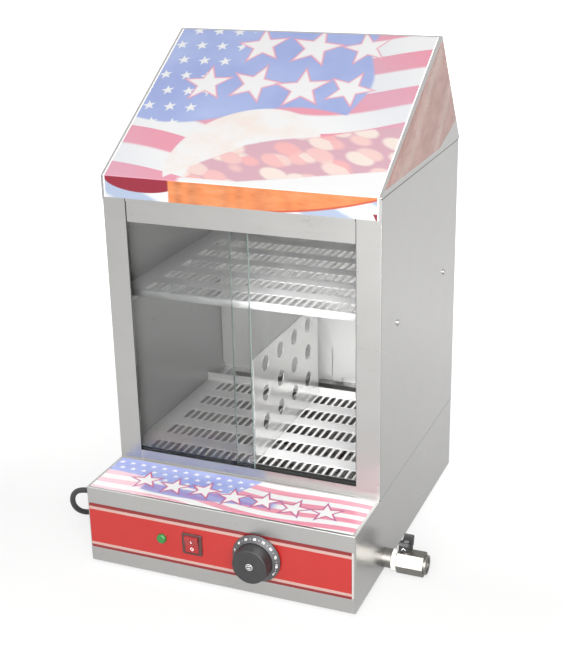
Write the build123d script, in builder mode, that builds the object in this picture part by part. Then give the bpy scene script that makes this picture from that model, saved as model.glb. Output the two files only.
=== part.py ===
from build123d import *
import os
from math import atan2, cos, hypot, pi, radians, sin, sqrt, tan

# Counter-top hot dog steamer: a steel base with a water tank and controls, a tower with two
# sliding glass doors, a bun shelf, a hot dog tray with a divider, and a wedge-shaped marquee.
# Millimetres, +Z up, front towards -Y. Origin: middle of the underside of the base's floor.

os.makedirs("parts", exist_ok=True)
pieces = {}

# ---- cabinet ----
cabinet_width = 350.0
base_depth = 410.0
base_height = 102.0
ledge_depth = 88.5  # step in front of the tower
header_height = 54.0  # opening's top to roof
sheet = 0.8  # stainless sheet of the whole cabinet
corner_radius = 2.0
bend_radius = 1.2
floor_flange = 13.0
flange_width = 12.0
film = 0.3  # printed vinyl
seat_gap = 0.3  # between a loose piece and the hole that holds it
running_gap = 0.05

# ---- front opening and doors ----
stile_width = 30.5
sill_height = 13.5
opening_height = 302.5
glass = 4.0
glass_edge = 0.6
glass_overlap = 18.0  # glass above the opening's top
door_width = 158.0
groove_width = 5.0
groove_rib = 2.4
track_wall = 0.9
track_floor = 1.5
door_lift = 11.0  # room above the glass, to lift it out
front_door_shift = 27.2  # pane's left edge from the inside of the left wall
rear_door_shift = 1.7

# ---- marquee ----
lip_height = 28.5
lip_above_roof = 1.2
ridge_back = 230.3  # ridge behind the lip
ridge_height = 144.0  # ridge above the roof
ridge_wrap = 10.0
marquee_overhang = 4.5
print_margin = 3.5
side_print_back = 28.0  # film's lower edge above the roof, at the back
side_print_front = 7.0
side_print_lead = 10.5  # behind the tower's face
side_print_turn = 114.0  # where that edge turns level

# ---- bun shelf ----
shelf_height = 221.0  # top above the base
shelf_front_gap = 14.4  # behind the door rail
shelf_back_gap = 6.6
shelf_lip = 9.0
side_play = 1.7
shelf_slot_width = 6.0
shelf_slot_length = 26.0
shelf_slot_pitch = 10.0
shelf_slot_count = 29
shelf_row_pitch = 49.0
shelf_row_count = 5
shelf_row_start = 18.0  # first row's middle behind the shelf's front edge
support_width = 14.0
support_height = 25.0
support_end = 8.0
rivet_radius = 2.0
rivet_head = 3.2
rivet_head_height = 1.4
rivet_drop = 16.0  # rivets below the shelf
rivet_front = 24.0  # behind the support's front end
rivet_back = 35.0
back_rivet_pitch = 100.0
back_rivet_count = 4

# ---- hot dog tray and divider ----
tray_rest = 4.7  # tray underside above the base
tray_front_gap = 1.9
tray_depth = 239.5
tray_slot_width = 6.5
tray_slot_length = 27.0
tray_slot_pitch = 10.0
tray_slot_count = 30
tray_row_pitch = 50.0
tray_row_count = 5
tray_row_start = 21.5
stop_height = 11.0
stop_foot = 4.5
divider_sheet = 1.0
divider_height = 139.5
divider_length = 220.0
divider_front = 14.5  # behind the tray's front edge
divider_foot = 13.0
divider_hole_radius = 10.5
divider_columns = 4
divider_rows = 3
divider_pitch_y = 48.3
divider_pitch_z = 40.0
divider_hole_top = 19.0  # top row's middle below the top edge
divider_hole_front = 37.5
tab_length = 20.0
tab_drop = 4.0

# ---- back liner ----
liner_gap = 7.6  # its face in front of the back panel
liner_bottom = 11.0  # lower edge above the base
liner_top_gap = 2.0
liner_flange = 8.0
tongue_width = 13.0
tongue_drop = 7.0
slit_width = 1.2
slit_height = 44.0

# ---- water tank ----
tank_margin = 23.0  # tank wall inside the cabinet's side
tank_front_gap = 7.5  # tank wall behind the tower's front
tank_back_gap = 14.0
tank_bottom = 3.5
tank_corner = 4.0
tank_bend = 3.0
tank_flange_x = 8.6
tank_flange_y = 6.0
tank_clear = 1.0

# ---- heating element and sensor ----
heater_radius = 4.25
heater_leg = 108.0  # outer legs from the middle
heater_inner_leg = 36.0
heater_height = 24.0
heater_bend = 17.0
heater_reach = 250.0
heater_return = 60.0
heater_tail = 24.0
bush_radius = 7.0
bush_flange = 10.0
bush_flange_thick = 3.0
bush_length = 12.0
nut_across = 19.0
nut_thick = 5.0
gasket_thick = 1.5
saddle_width = 12.0
saddle_foot = 12.0
saddle_first = 90.0  # behind the tank's front wall
saddle_pitch = 110.0
bulb_radius = 3.0
bulb_length = 110.0
bulb_height = 50.5
bulb_tail = 12.0
capillary_radius = 1.0

# ---- controls ----
control_z = 50.5
lamp_x = -73.0
lamp_radius = 6.2
lamp_proud = 4.2
lamp_round = 2.2
lamp_neck = 4.8
lamp_length = 24.0
lamp_nut = 7.5
lamp_nut_thick = 3.0
switch_x = -32.0
bezel_width = 26.5
bezel_height = 28.0
bezel_proud = 2.2
bezel_edge = 0.8
switch_body_width = 21.0
switch_wall = 0.9
switch_back_wall = 3.0
rocker_width = 17.6
rocker_swing = 11.6  # radius of the rocker's top and bottom
rocker_depth = 4.0  # pivot behind the bezel's face
rocker_corner = 61.0  # face corners, in degrees from straight out
rocker_dish = 1.3
rocker_root = 3.0
rocker_tilt = 10.0
rocker_pin = 1.5
rocker_pin_length = 1.2
knob_x = 52.9
dial_radius = 30.5
dial_edge = 2.5
dial_face_radius = 24.0
dial_rise = 8.0
dial_hub = 8.0
knob_gap = 1.2
knob_base_radius = 23.0
knob_front_radius = 21.8
knob_height = 25.0
knob_round = 1.2
knob_wall = 2.2
knob_hub = 6.5
knob_screw_head = 4.4
knob_screw_sink = 1.6
knob_screw_radius = 1.5
knob_screw_length = 8.0
knob_slot_width = 1.0
knob_slot_depth = 0.8
shaft_radius = 3.0
shaft_seat = 10.0
thermostat_width = 44.0
thermostat_height = 34.0
thermostat_depth = 28.0
thermostat_corner = 3.0
thermostat_boss = 5.0
thermostat_screw_pitch = 28.0
fascia_low = 19.0
fascia_high = 80.5
fascia_margin = 2.0
ledge_margin = 4.0

# ---- drain ----
drain_back = 20.0  # drain behind the tower's front
drain_z = 14.5
socket_radius = 12.0
socket_proud = 11.5
drain_bore = 8.0
spigot_radius = 10.4
thread_gap = 0.1
spigot_length = 10.0
ring_radius = 14.0
ring_width = 6.0
valve_across = 27.0
valve_length = 37.0
valve_collar = 12.0
collar_length = 3.0
valve_cavity = 8.9
valve_bore = 6.0
valve_shoulder = 2.5
outlet_radius = 9.3  # half-inch pipe thread
outlet_chamfer = 0.8
ball_radius = 8.2
ball_bore = 5.5
ball_gap = 0.1
seat_width = 3.6
seat_ball_gap = 4.0  # from the ball's middle to the near face of a seat
retainer_width = 2.4
stem_radius = 3.0
stem_boss = 7.0
stem_boss_height = 4.0
tang_width = 2.4
tang_length = 7.0
tang_depth = 1.8
handle_width = 12.0
handle_length = 27.0
handle_lift = 0.5
handle_wing = 14.0
handle_dip = 8.0
handle_tuck = 2.7  # foot of each wing in from its tip
handle_tip = 4.2
handle_tip_inset = 2.0
handle_hub = 8.0
handle_screw_head = 3.4
handle_screw_sink = 1.0

# ---- feet and fasteners ----
foot_radius = 11.0
foot_height = 4.0
foot_inset_x = 16.0
foot_inset_y = 18.0
foot_chamfer = 0.8
screw_radius = 2.0
screw_head = 3.6
screw_head_height = 1.8
screw_length = 6.0
floor_vent_width = 4.0
floor_vent_length = 30.0
floor_vent_count = 9
floor_vent_pitch = 14.0
tower_screw_pitch = 200.0
floor_screw_pitch = 140.0

# ---- supply ----
gland_back = 48.0  # behind the base's front
gland_z = 68.0
gland_flange = 10.0
gland_flange_thick = 3.0
gland_flange_rim = 2.1  # straight part of its edge
gland_root = 7.2
gland_tip = 5.2
gland_length = 26.0
gland_neck = 7.6
gland_lock = 9.0
gland_lock_thick = 4.0
cord_diameter = 7.2
cord_sides = 8
coil_radius = 44.0  # middle of the outermost turn
coil_step = 8.0  # between turns that lie side by side
coil_lift = 7.9  # between the two layers
coil_turns = 4.0
coil_lead = 48.0  # from the last turn to the plug
plug_length = 36.0
plug_width = 30.0
plug_round = 6.0
plug_nose = 6.5
plug_taper = 16.0
pin_length = 18.0
pin_wide = 6.3
pin_thick = 1.6
pin_pitch = 12.7
earth_pin = 2.4
earth_rise = 7.0
block_width = 46.0
block_depth = 22.0
block_height = 18.0
block_poles = 3
block_inset = 57.0  # block's middle from the left side
block_back = 40.0
wire_radius = 1.1
wire_pair = 1.65  # from the middle of a pole that two wires share
core_spread = 1.7  # cores from the lead's axis
wire_gap = 0.1  # before the face that a wire ends on
wire_bend = 5.0
contact_spread = 5.0  # contacts from the middle of a switch
heater_drop = 15.0  # wires turn down this far before the element's tails
loom_back = 41.0  # cross runs behind the front panel
wire_rise = 16.0  # above the terminal block

# levels and faces that the pieces share
front_y = -base_depth / 2
back_y = base_depth / 2
tower_y = front_y + ledge_depth
side_x = cabinet_width / 2
wall_x = side_x - sheet  # inner face of a side wall
ground_z = -foot_height  # what the object stands on
sill_z = base_height + sill_height
lintel_z = sill_z + opening_height
roof_z = lintel_z + header_height
film_y = front_y - film
drain_y = tower_y + drain_back
gland_y = front_y + gland_back
side_screw_x = side_x - floor_flange / 2
foot_x = side_x - foot_inset_x
block_x = block_inset - side_x
foot_y = base_depth / 2 - foot_inset_y

panel_x = wall_x - (bend_radius - sheet)  # panels between the side walls clear their bends
back_foot_x = side_x - floor_flange - 2 * sheet
tower_mid = (tower_y + back_y) / 2

tank_x = side_x - tank_margin
tank_front = tower_y + tank_front_gap
tank_back = back_y - tank_back_gap
tank_y = (tank_front + tank_back) / 2
tank_length = tank_back - tank_front

rail_front = tower_y + sheet
track_front = rail_front + sheet
front_groove = track_front + track_wall
rear_groove = front_groove + groove_width + groove_rib
track_back = rear_groove + groove_width + track_wall
rail_back = track_back + sheet
rail_depth = rail_back - rail_front
track_floor_z = base_height + 2 * sheet + track_floor
glass_z = track_floor_z + seat_gap
track_top_z = lintel_z + glass_overlap + door_lift + track_floor
glass_height = lintel_z + glass_overlap - glass_z
flange_z = base_height + sheet

tray_z = base_height + tray_rest
tray_top = tray_z + sheet
tray_front = rail_back + tray_front_gap
shelf_z = base_height + shelf_height
liner_y = back_y - 2 * sheet - liner_gap + sheet
shelf_front = rail_back + shelf_front_gap
shelf_back = liner_y - sheet - shelf_back_gap
shelf_depth = shelf_back - shelf_front
support_front = shelf_front + support_end
support_back = shelf_back - support_end
rivet_z = shelf_z - rivet_drop
rivet_spots = (support_front + rivet_front, support_back - rivet_back)

lip_y = tower_y - sheet
ridge_y = lip_y + ridge_back
ridge_z = roof_z + ridge_height
lip_top = roof_z + lip_above_roof
slope = atan2(ridge_z - lip_top, ridge_y - lip_y)
slope_length = hypot(ridge_z - lip_top, ridge_y - lip_y)
marquee_back = back_y + marquee_overhang
back_slope = atan2(ridge_z - roof_z, marquee_back - ridge_y)


def bent(points, thickness=sheet, side=Side.LEFT, radius=bend_radius):
    # section of a sheet bent along a path
    with BuildSketch() as section:
        with BuildLine():
            FilletPolyline(*points, radius=radius)
            offset(amount=thickness, side=side)
        make_face()
    return section.sketch


def panel_plane(x, z):
    # plane through a point of the front panel: its X runs straight out, its Y up
    return Plane(origin=(x, front_y, z), x_dir=(0, -1, 0), z_dir=(-1, 0, 0))


def panel_axis(x, z):
    return Axis((x, front_y, z), (0, -1, 0))


def across(x, y, z, way=-1):
    # plane square to the depth that faces the front (-1) or the back (1)
    return Plane(origin=(x, y, z), x_dir=(1, 0, 0), z_dir=(0, way, 0))


def pairs(half_width, middle, pitch, count):
    # a row of places at each side of the cabinet
    first = middle - pitch * (count - 1) / 2
    return [(x, first + pitch * step) for x in (-half_width, half_width) for step in range(count)]


floor_screw_spots = pairs(side_screw_x, 0, floor_screw_pitch, 3)
foot_spots = pairs(foot_x, 0, 2 * foot_y, 2)
tower_screw_spots = pairs(side_screw_x, tower_mid, tower_screw_pitch, 2)
back_rivet_spots = pairs(side_screw_x, (base_height + roof_z) / 2, back_rivet_pitch, back_rivet_count)


# ======== base ========
front_panel = Plane.XZ.offset(-front_y)

with BuildPart() as base_shell:
    with BuildSketch(Plane.XY.offset(sheet)):
        RectangleRounded(cabinet_width, base_depth, corner_radius)
    extrude(amount=base_height - sheet)
    fillet(base_shell.edges().group_by(Axis.Z)[-1], radius=bend_radius)
    with BuildSketch(Plane.XY.offset(2 * sheet)):
        RectangleRounded(cabinet_width - 2 * sheet, base_depth - 2 * sheet, corner_radius - sheet)
    extrude(amount=base_height - 3 * sheet, mode=Mode.SUBTRACT)
    with BuildSketch(Plane.XY.offset(sheet)):
        Rectangle(cabinet_width - 2 * floor_flange, base_depth - 2 * floor_flange)
        with Locations(*floor_screw_spots):
            Circle(screw_radius)
    extrude(amount=sheet, mode=Mode.SUBTRACT)
    with BuildSketch(Plane.XY.offset(base_height)):
        with Locations((0, tank_y)):
            RectangleRounded(
                2 * (tank_x + tank_clear), tank_length + 2 * tank_clear, tank_corner + tank_clear
            )
        with Locations(*tower_screw_spots):
            Circle(screw_radius)
    extrude(amount=-sheet, mode=Mode.SUBTRACT)
    with BuildSketch(front_panel):
        with Locations((lamp_x, control_z)):
            Circle(lamp_neck + seat_gap)
        with Locations((switch_x, control_z)):
            Rectangle(
                switch_body_width + 2 * seat_gap,
                2 * (rocker_swing + switch_wall + 2 * seat_gap),
            )
        with Locations((knob_x, control_z)):
            Circle(thermostat_boss + seat_gap)
            with GridLocations(thermostat_screw_pitch, 1, 2, 1):
                Circle(screw_radius)
    extrude(amount=-sheet, mode=Mode.SUBTRACT)
    with BuildSketch(Plane.YZ.offset(wall_x)):
        with Locations((drain_y, drain_z)):
            Circle(socket_radius + seat_gap)
    extrude(amount=sheet, mode=Mode.SUBTRACT)
    with BuildSketch(Plane.YZ.offset(-side_x)):
        with Locations((gland_y, gland_z)):
            Circle(gland_neck + seat_gap)
    extrude(amount=sheet, mode=Mode.SUBTRACT)
pieces["base_shell"] = base_shell

with BuildPart() as floor_plate:
    with BuildSketch():
        RectangleRounded(cabinet_width, base_depth, corner_radius)
        with Locations(*floor_screw_spots):
            Circle(screw_radius, mode=Mode.SUBTRACT)
        with Locations(*foot_spots):
            Circle(screw_radius, mode=Mode.SUBTRACT)
        with Locations((0, front_y + ledge_depth / 2)):
            with GridLocations(floor_vent_pitch, 1, floor_vent_count, 1):
                Rectangle(floor_vent_width, floor_vent_length, mode=Mode.SUBTRACT)
    extrude(amount=sheet)
pieces["floor_plate"] = floor_plate

with BuildPart() as feet:
    with BuildSketch():
        with Locations(*foot_spots):
            Circle(foot_radius)
    extrude(amount=-foot_height)
    chamfer(feet.edges().group_by(Axis.Z)[0], length=foot_chamfer)
    with BuildSketch(Plane.XY.offset(ground_z)):
        with Locations(*foot_spots):
            Circle(screw_head + seat_gap)
    extrude(amount=screw_head_height + seat_gap, mode=Mode.SUBTRACT)
    with BuildSketch(Plane.XY.offset(ground_z)):
        with Locations(*foot_spots):
            Circle(screw_radius)
    extrude(amount=foot_height, mode=Mode.SUBTRACT)
pieces["feet"] = feet

# pan-head screws: the seat of each head, and the way that its shank points
screw_seats = []
for x, y in floor_screw_spots:
    screw_seats.append((Vector(x, y, 0), Vector(0, 0, 1)))
for x, y in foot_spots:
    screw_seats.append((Vector(x, y, ground_z + screw_head_height + seat_gap), Vector(0, 0, 1)))
for x, y in tower_screw_spots:
    screw_seats.append((Vector(x, y, flange_z), Vector(0, 0, -1)))
    screw_seats.append((Vector(x, y, roof_z + sheet), Vector(0, 0, -1)))
for x in (-thermostat_screw_pitch / 2, thermostat_screw_pitch / 2):
    screw_seats.append((Vector(knob_x + x, front_y, control_z), Vector(0, 1, 0)))

with BuildPart() as cabinet_screws:
    for seat, way in screw_seats:
        shank_radius = screw_radius - running_gap
        head_height = min(screw_head_height, knob_gap - film) if way.Y else screw_head_height
        with BuildSketch(Plane(seat, z_dir=way)):
            Circle(screw_head)
        extrude(amount=-head_height)
        with BuildSketch(Plane(seat, z_dir=way)):
            Circle(shank_radius)
        extrude(amount=screw_length)
pieces["cabinet_screws"] = cabinet_screws

with BuildPart() as control_fascia:
    with BuildSketch(front_panel):
        with Locations((0, (fascia_low + fascia_high) / 2)):
            RectangleRounded(
                cabinet_width - 2 * fascia_margin, fascia_high - fascia_low, corner_radius
            )
        with Locations((lamp_x, control_z)):
            Circle(lamp_neck + seat_gap, mode=Mode.SUBTRACT)
        with Locations((switch_x, control_z)):
            Rectangle(
                switch_body_width + 2 * seat_gap,
                2 * (rocker_swing + switch_wall + 2 * seat_gap),
                mode=Mode.SUBTRACT,
            )
        with Locations((knob_x, control_z)):
            SlotOverall(
                thermostat_screw_pitch + 2 * (screw_head + seat_gap),
                2 * (thermostat_boss + seat_gap),
                mode=Mode.SUBTRACT,
            )
    extrude(amount=film)
pieces["control_fascia"] = control_fascia

with BuildPart() as ledge_print:
    with BuildSketch(Plane.XY.offset(base_height)):
        with Locations((0, front_y + ledge_depth / 2)):
            RectangleRounded(
                cabinet_width - 2 * ledge_margin, ledge_depth - 2 * ledge_margin, corner_radius
            )
    extrude(amount=film)
pieces["ledge_print"] = ledge_print

# ======== water tank, heating element and sensor ========
with BuildPart() as water_tank:
    with BuildSketch(Plane.XY.offset(tank_bottom)):
        with Locations((0, tank_y)):
            RectangleRounded(2 * tank_x, tank_length, tank_corner)
    extrude(amount=flange_z - tank_bottom)
    fillet(water_tank.edges().group_by(Axis.Z)[0], radius=tank_bend)
    offset(amount=-sheet, openings=water_tank.faces().sort_by(Axis.Z)[-1])
    with BuildSketch(Plane.XY.offset(base_height)):
        with Locations((0, tank_y)):
            RectangleRounded(
                2 * (tank_x + tank_flange_x), tank_length + 2 * tank_flange_y, tank_corner
            )
            RectangleRounded(
                2 * (tank_x - sheet), tank_length - 2 * sheet, tank_corner - sheet,
                mode=Mode.SUBTRACT,
            )
    extrude(amount=sheet)
    with BuildSketch(Plane.XZ.offset(-tank_front)):
        with Locations((-heater_leg, heater_height), (heater_leg, heater_height)):
            Circle(bush_radius)
        with Locations((knob_x, bulb_height)):
            Circle(bush_radius)
    extrude(amount=-sheet, mode=Mode.SUBTRACT)
    with BuildSketch(Plane.YZ.offset(tank_x)):
        with Locations((drain_y, drain_z)):
            Circle(drain_bore)
    extrude(amount=-tank_bend, mode=Mode.SUBTRACT)
pieces["water_tank"] = water_tank

tail_y = tank_front - heater_tail
reach_y = tank_front + heater_reach
return_y = tank_front + heater_return
with BuildPart() as heater_element:
    with BuildLine() as heater_line:
        FilletPolyline(
            (-heater_leg, tail_y, heater_height),
            (-heater_leg, reach_y, heater_height),
            (-heater_inner_leg, reach_y, heater_height),
            (-heater_inner_leg, return_y, heater_height),
            (heater_inner_leg, return_y, heater_height),
            (heater_inner_leg, reach_y, heater_height),
            (heater_leg, reach_y, heater_height),
            (heater_leg, tail_y, heater_height),
            radius=heater_bend,
        )
    with BuildSketch(Plane(heater_line.line @ 0, z_dir=heater_line.line % 0)):
        RegularPolygon(heater_radius, 12)
    sweep()
pieces["heater_element"] = heater_element

fitting_spots = [
    (-heater_leg, heater_height, heater_radius),
    (heater_leg, heater_height, heater_radius),
    (knob_x, bulb_height, bulb_radius),
]
bush_head_y = tank_front + sheet + gasket_thick  # the bush's flange bears on its gasket here
with BuildPart() as heater_bushes:
    for x, z, bore in fitting_spots:
        plane = across(x, bush_head_y, z, 1)
        with BuildSketch(plane):
            Circle(bush_flange)
        extrude(amount=bush_flange_thick)
        with BuildSketch(plane):
            Circle(bush_radius - running_gap)
        extrude(amount=-bush_length)
    for x, z, bore in fitting_spots:
        with BuildSketch(across(x, bush_head_y, z, 1)):
            Circle(bore + running_gap)
        extrude(amount=bush_length + bush_flange_thick, both=True, mode=Mode.SUBTRACT)
pieces["heater_bushes"] = heater_bushes

with BuildPart() as heater_gaskets:
    for x, z, bore in fitting_spots:
        with BuildSketch(across(x, tank_front + sheet, z, 1)):
            Circle(bush_flange)
            Circle(bush_radius, mode=Mode.SUBTRACT)
        extrude(amount=gasket_thick)
pieces["heater_gaskets"] = heater_gaskets

with BuildPart() as heater_nuts:
    for x, z, bore in fitting_spots:
        with BuildSketch(across(x, tank_front, z)):
            RegularPolygon(nut_across / 2, 6, major_radius=False)
            Circle(bush_radius, mode=Mode.SUBTRACT)
        extrude(amount=nut_thick)
pieces["heater_nuts"] = heater_nuts

saddle_x = heater_inner_leg + heater_radius + saddle_foot / 2
saddle_top = heater_height - heater_radius
tank_floor_z = tank_bottom + sheet
with BuildPart() as heater_saddles:
    for step in range(2):
        saddle_y = tank_front + saddle_first + step * saddle_pitch
        with BuildSketch(Plane.XZ.offset(-saddle_y)):
            add(
                bent(
                    [
                        (-saddle_x - saddle_foot, tank_floor_z),
                        (-saddle_x, tank_floor_z),
                        (-saddle_x, saddle_top - sheet),
                        (saddle_x, saddle_top - sheet),
                        (saddle_x, tank_floor_z),
                        (saddle_x + saddle_foot, tank_floor_z),
                    ],
                    radius=bend_radius,
                )
            )
        extrude(amount=saddle_width / 2, both=True)
pieces["heater_saddles"] = heater_saddles

with BuildPart() as sensor_bulb:
    bulb_start = tank_front - bulb_tail
    with BuildSketch(across(knob_x, bulb_start, bulb_height, 1)):
        Circle(bulb_radius)
    extrude(amount=bulb_length)
    fillet(sensor_bulb.edges().group_by(Axis.Y)[-1], radius=bulb_radius / 2)
    with BuildSketch(across(knob_x, bulb_start, bulb_height)):
        Circle(capillary_radius)
    extrude(amount=bulb_start - (front_y + sheet + thermostat_depth))
pieces["sensor_bulb"] = sensor_bulb

# ======== controls ========
with BuildPart() as thermostat_body:
    with BuildSketch(across(knob_x, front_y + sheet, control_z, 1)):
        RectangleRounded(thermostat_width, thermostat_height, thermostat_corner)
    extrude(amount=thermostat_depth)
    with BuildSketch(across(knob_x, front_y + sheet, control_z)):
        Circle(thermostat_boss)
    extrude(amount=sheet + film)
    with BuildSketch(across(knob_x, film_y, control_z, 1)):
        Circle(shaft_radius + running_gap)
    extrude(amount=film + sheet + shaft_seat, mode=Mode.SUBTRACT)
    with BuildSketch(across(knob_x, front_y + sheet, control_z, 1)):
        with GridLocations(thermostat_screw_pitch, 1, 2, 1):
            Circle(screw_radius)
    extrude(amount=screw_length, mode=Mode.SUBTRACT)
pieces["thermostat_body"] = thermostat_body

shaft_end = knob_height - knob_screw_sink - knob_wall  # out from the panel
with BuildPart() as thermostat_shaft:
    shaft_root = front_y + sheet + shaft_seat - seat_gap
    with BuildSketch(across(knob_x, shaft_root, control_z)):
        Circle(shaft_radius)
    extrude(amount=shaft_root - front_y + shaft_end)
    with BuildSketch(across(knob_x, front_y - shaft_end, control_z, 1)):
        Circle(knob_screw_radius)
    extrude(amount=knob_screw_length, mode=Mode.SUBTRACT)
pieces["thermostat_shaft"] = thermostat_shaft

dial_back = knob_gap + film
dial_front = dial_back + dial_rise
with BuildPart() as knob_dial:
    with BuildSketch(panel_plane(knob_x, control_z)):
        with BuildLine():
            Polyline(
                (dial_back, dial_hub),
                (dial_back, dial_radius - dial_edge / 2),
                (dial_back + dial_edge / 2, dial_radius),
                (dial_back + dial_edge, dial_radius),
                (dial_front, dial_face_radius),
                (dial_front, knob_base_radius + seat_gap),
                (dial_front - dial_edge, knob_base_radius + seat_gap),
                (dial_front - dial_edge, dial_hub),
                close=True,
            )
        make_face()
    revolve(axis=panel_axis(knob_x, control_z))
pieces["knob_dial"] = knob_dial

cap_back = dial_front - dial_edge
with BuildPart() as knob_cap:
    with BuildSketch(panel_plane(knob_x, control_z)):
        with BuildLine():
            Polyline(
                (cap_back, knob_base_radius),
                (knob_height, knob_front_radius),
                (knob_height, knob_screw_head + seat_gap),
                (knob_height - knob_screw_sink, knob_screw_head + seat_gap),
                (knob_height - knob_screw_sink, knob_screw_radius + running_gap),
                (shaft_end, knob_screw_radius + running_gap),
                (shaft_end, shaft_radius),
                (dial_back, shaft_radius),
                (dial_back, knob_hub),
                (knob_height - knob_screw_sink - knob_wall, knob_hub),
                (knob_height - knob_screw_sink - knob_wall, knob_front_radius - knob_wall),
                (cap_back, knob_base_radius - knob_wall),
                close=True,
            )
        make_face()
    revolve(axis=panel_axis(knob_x, control_z))
    rim = knob_cap.edges().filter_by(GeomType.CIRCLE).group_by(Axis.Y)[0]
    fillet(rim.sort_by(SortBy.RADIUS)[-1], radius=knob_round)
pieces["knob_cap"] = knob_cap

with BuildPart() as knob_screw:
    screw_seat_y = front_y - knob_height + knob_screw_sink
    with BuildSketch(across(knob_x, screw_seat_y, control_z)):
        Circle(knob_screw_head)
    extrude(amount=knob_screw_sink)
    fillet(knob_screw.edges().group_by(Axis.Y)[0], radius=knob_slot_depth / 2)
    with BuildSketch(across(knob_x, screw_seat_y, control_z, 1)):
        Circle(knob_screw_radius - running_gap)
    extrude(amount=knob_wall + knob_screw_length - seat_gap)
    with BuildSketch(across(knob_x, front_y - knob_height, control_z, 1)):
        Rectangle(3 * knob_screw_head, knob_slot_width)
    extrude(amount=knob_slot_depth, mode=Mode.SUBTRACT)
pieces["knob_screw"] = knob_screw

with BuildPart() as lamp_lens:
    with BuildSketch(across(lamp_x, film_y, control_z)):
        Circle(lamp_radius)
    extrude(amount=lamp_proud)
    fillet(lamp_lens.edges().group_by(Axis.Y)[0], radius=lamp_round)
pieces["lamp_lens"] = lamp_lens

with BuildPart() as lamp_body:
    with BuildSketch(across(lamp_x, film_y, control_z, 1)):
        Circle(lamp_neck)
    extrude(amount=lamp_length)
    with BuildSketch(across(lamp_x, front_y + sheet, control_z, 1)):
        RegularPolygon(lamp_nut, 6)
    extrude(amount=lamp_nut_thick)
pieces["lamp_body"] = lamp_body

bezel_y = film_y - bezel_proud
pivot_y = bezel_y + rocker_depth
pocket_radius = rocker_swing + seat_gap
with BuildPart() as switch_body:
    with BuildSketch(across(switch_x, film_y, control_z)):
        RectangleRounded(bezel_width, bezel_height, corner_radius)
    extrude(amount=bezel_proud)
    chamfer(switch_body.edges().group_by(Axis.Y)[0], length=bezel_edge)
    with BuildSketch(across(switch_x, film_y, control_z, 1)):
        Rectangle(switch_body_width, 2 * (pocket_radius + switch_wall))
    extrude(amount=pivot_y + pocket_radius + switch_back_wall - film_y)
    with BuildSketch(Plane((switch_x, pivot_y, control_z), z_dir=(1, 0, 0))):
        Circle(pocket_radius)
    extrude(amount=rocker_width / 2 + seat_gap, both=True, mode=Mode.SUBTRACT)
    with BuildSketch(Plane((switch_x, pivot_y, control_z), z_dir=(1, 0, 0))):
        Circle(rocker_pin + running_gap)
    extrude(amount=rocker_width / 2 + rocker_pin_length + 2 * seat_gap, both=True, mode=Mode.SUBTRACT)
pieces["switch_body"] = switch_body

face_out = rocker_swing * cos(radians(rocker_corner))
face_up = rocker_swing * sin(radians(rocker_corner))
with BuildPart() as rocker:
    rocker_plane = Plane(
        origin=(switch_x, pivot_y, control_z),
        x_dir=(0, -cos(radians(rocker_tilt)), -sin(radians(rocker_tilt))),
        z_dir=(-1, 0, 0),
    )
    with BuildSketch(rocker_plane):
        Circle(rocker_swing)
        with BuildLine():
            Polyline(
                (face_out, face_up),
                (face_out - rocker_dish, 0),
                (face_out, -face_up),
                (2 * rocker_swing, -face_up),
                (2 * rocker_swing, face_up),
                close=True,
            )
        make_face(mode=Mode.SUBTRACT)
        with Locations((-rocker_root - rocker_swing, 0)):
            Rectangle(2 * rocker_swing, 2 * rocker_swing, mode=Mode.SUBTRACT)
    extrude(amount=rocker_width / 2, both=True)
    with BuildSketch(rocker_plane):
        Circle(rocker_pin)
    extrude(amount=rocker_width / 2 + rocker_pin_length, both=True)
pieces["rocker"] = rocker

with BuildPart() as terminal_block:
    with BuildSketch(Plane((block_x, front_y + block_back, sheet))):
        Rectangle(block_width, block_depth)
    extrude(amount=block_height)
    pole_pitch = block_width / block_poles
    with BuildSketch(Plane((block_x, front_y + block_back, sheet + block_height))):
        with GridLocations(pole_pitch, block_depth / 2, block_poles, 2):
            Circle(pole_pitch / 4)
    extrude(amount=-block_height / 3, mode=Mode.SUBTRACT)
    with BuildSketch(Plane((block_x, front_y + block_back, sheet + block_height))):
        with GridLocations(pole_pitch, 1, block_poles - 1, 1):
            Rectangle(pole_pitch / 6, block_depth)
    extrude(amount=-block_height / 5, mode=Mode.SUBTRACT)
pieces["terminal_block"] = terminal_block

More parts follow.
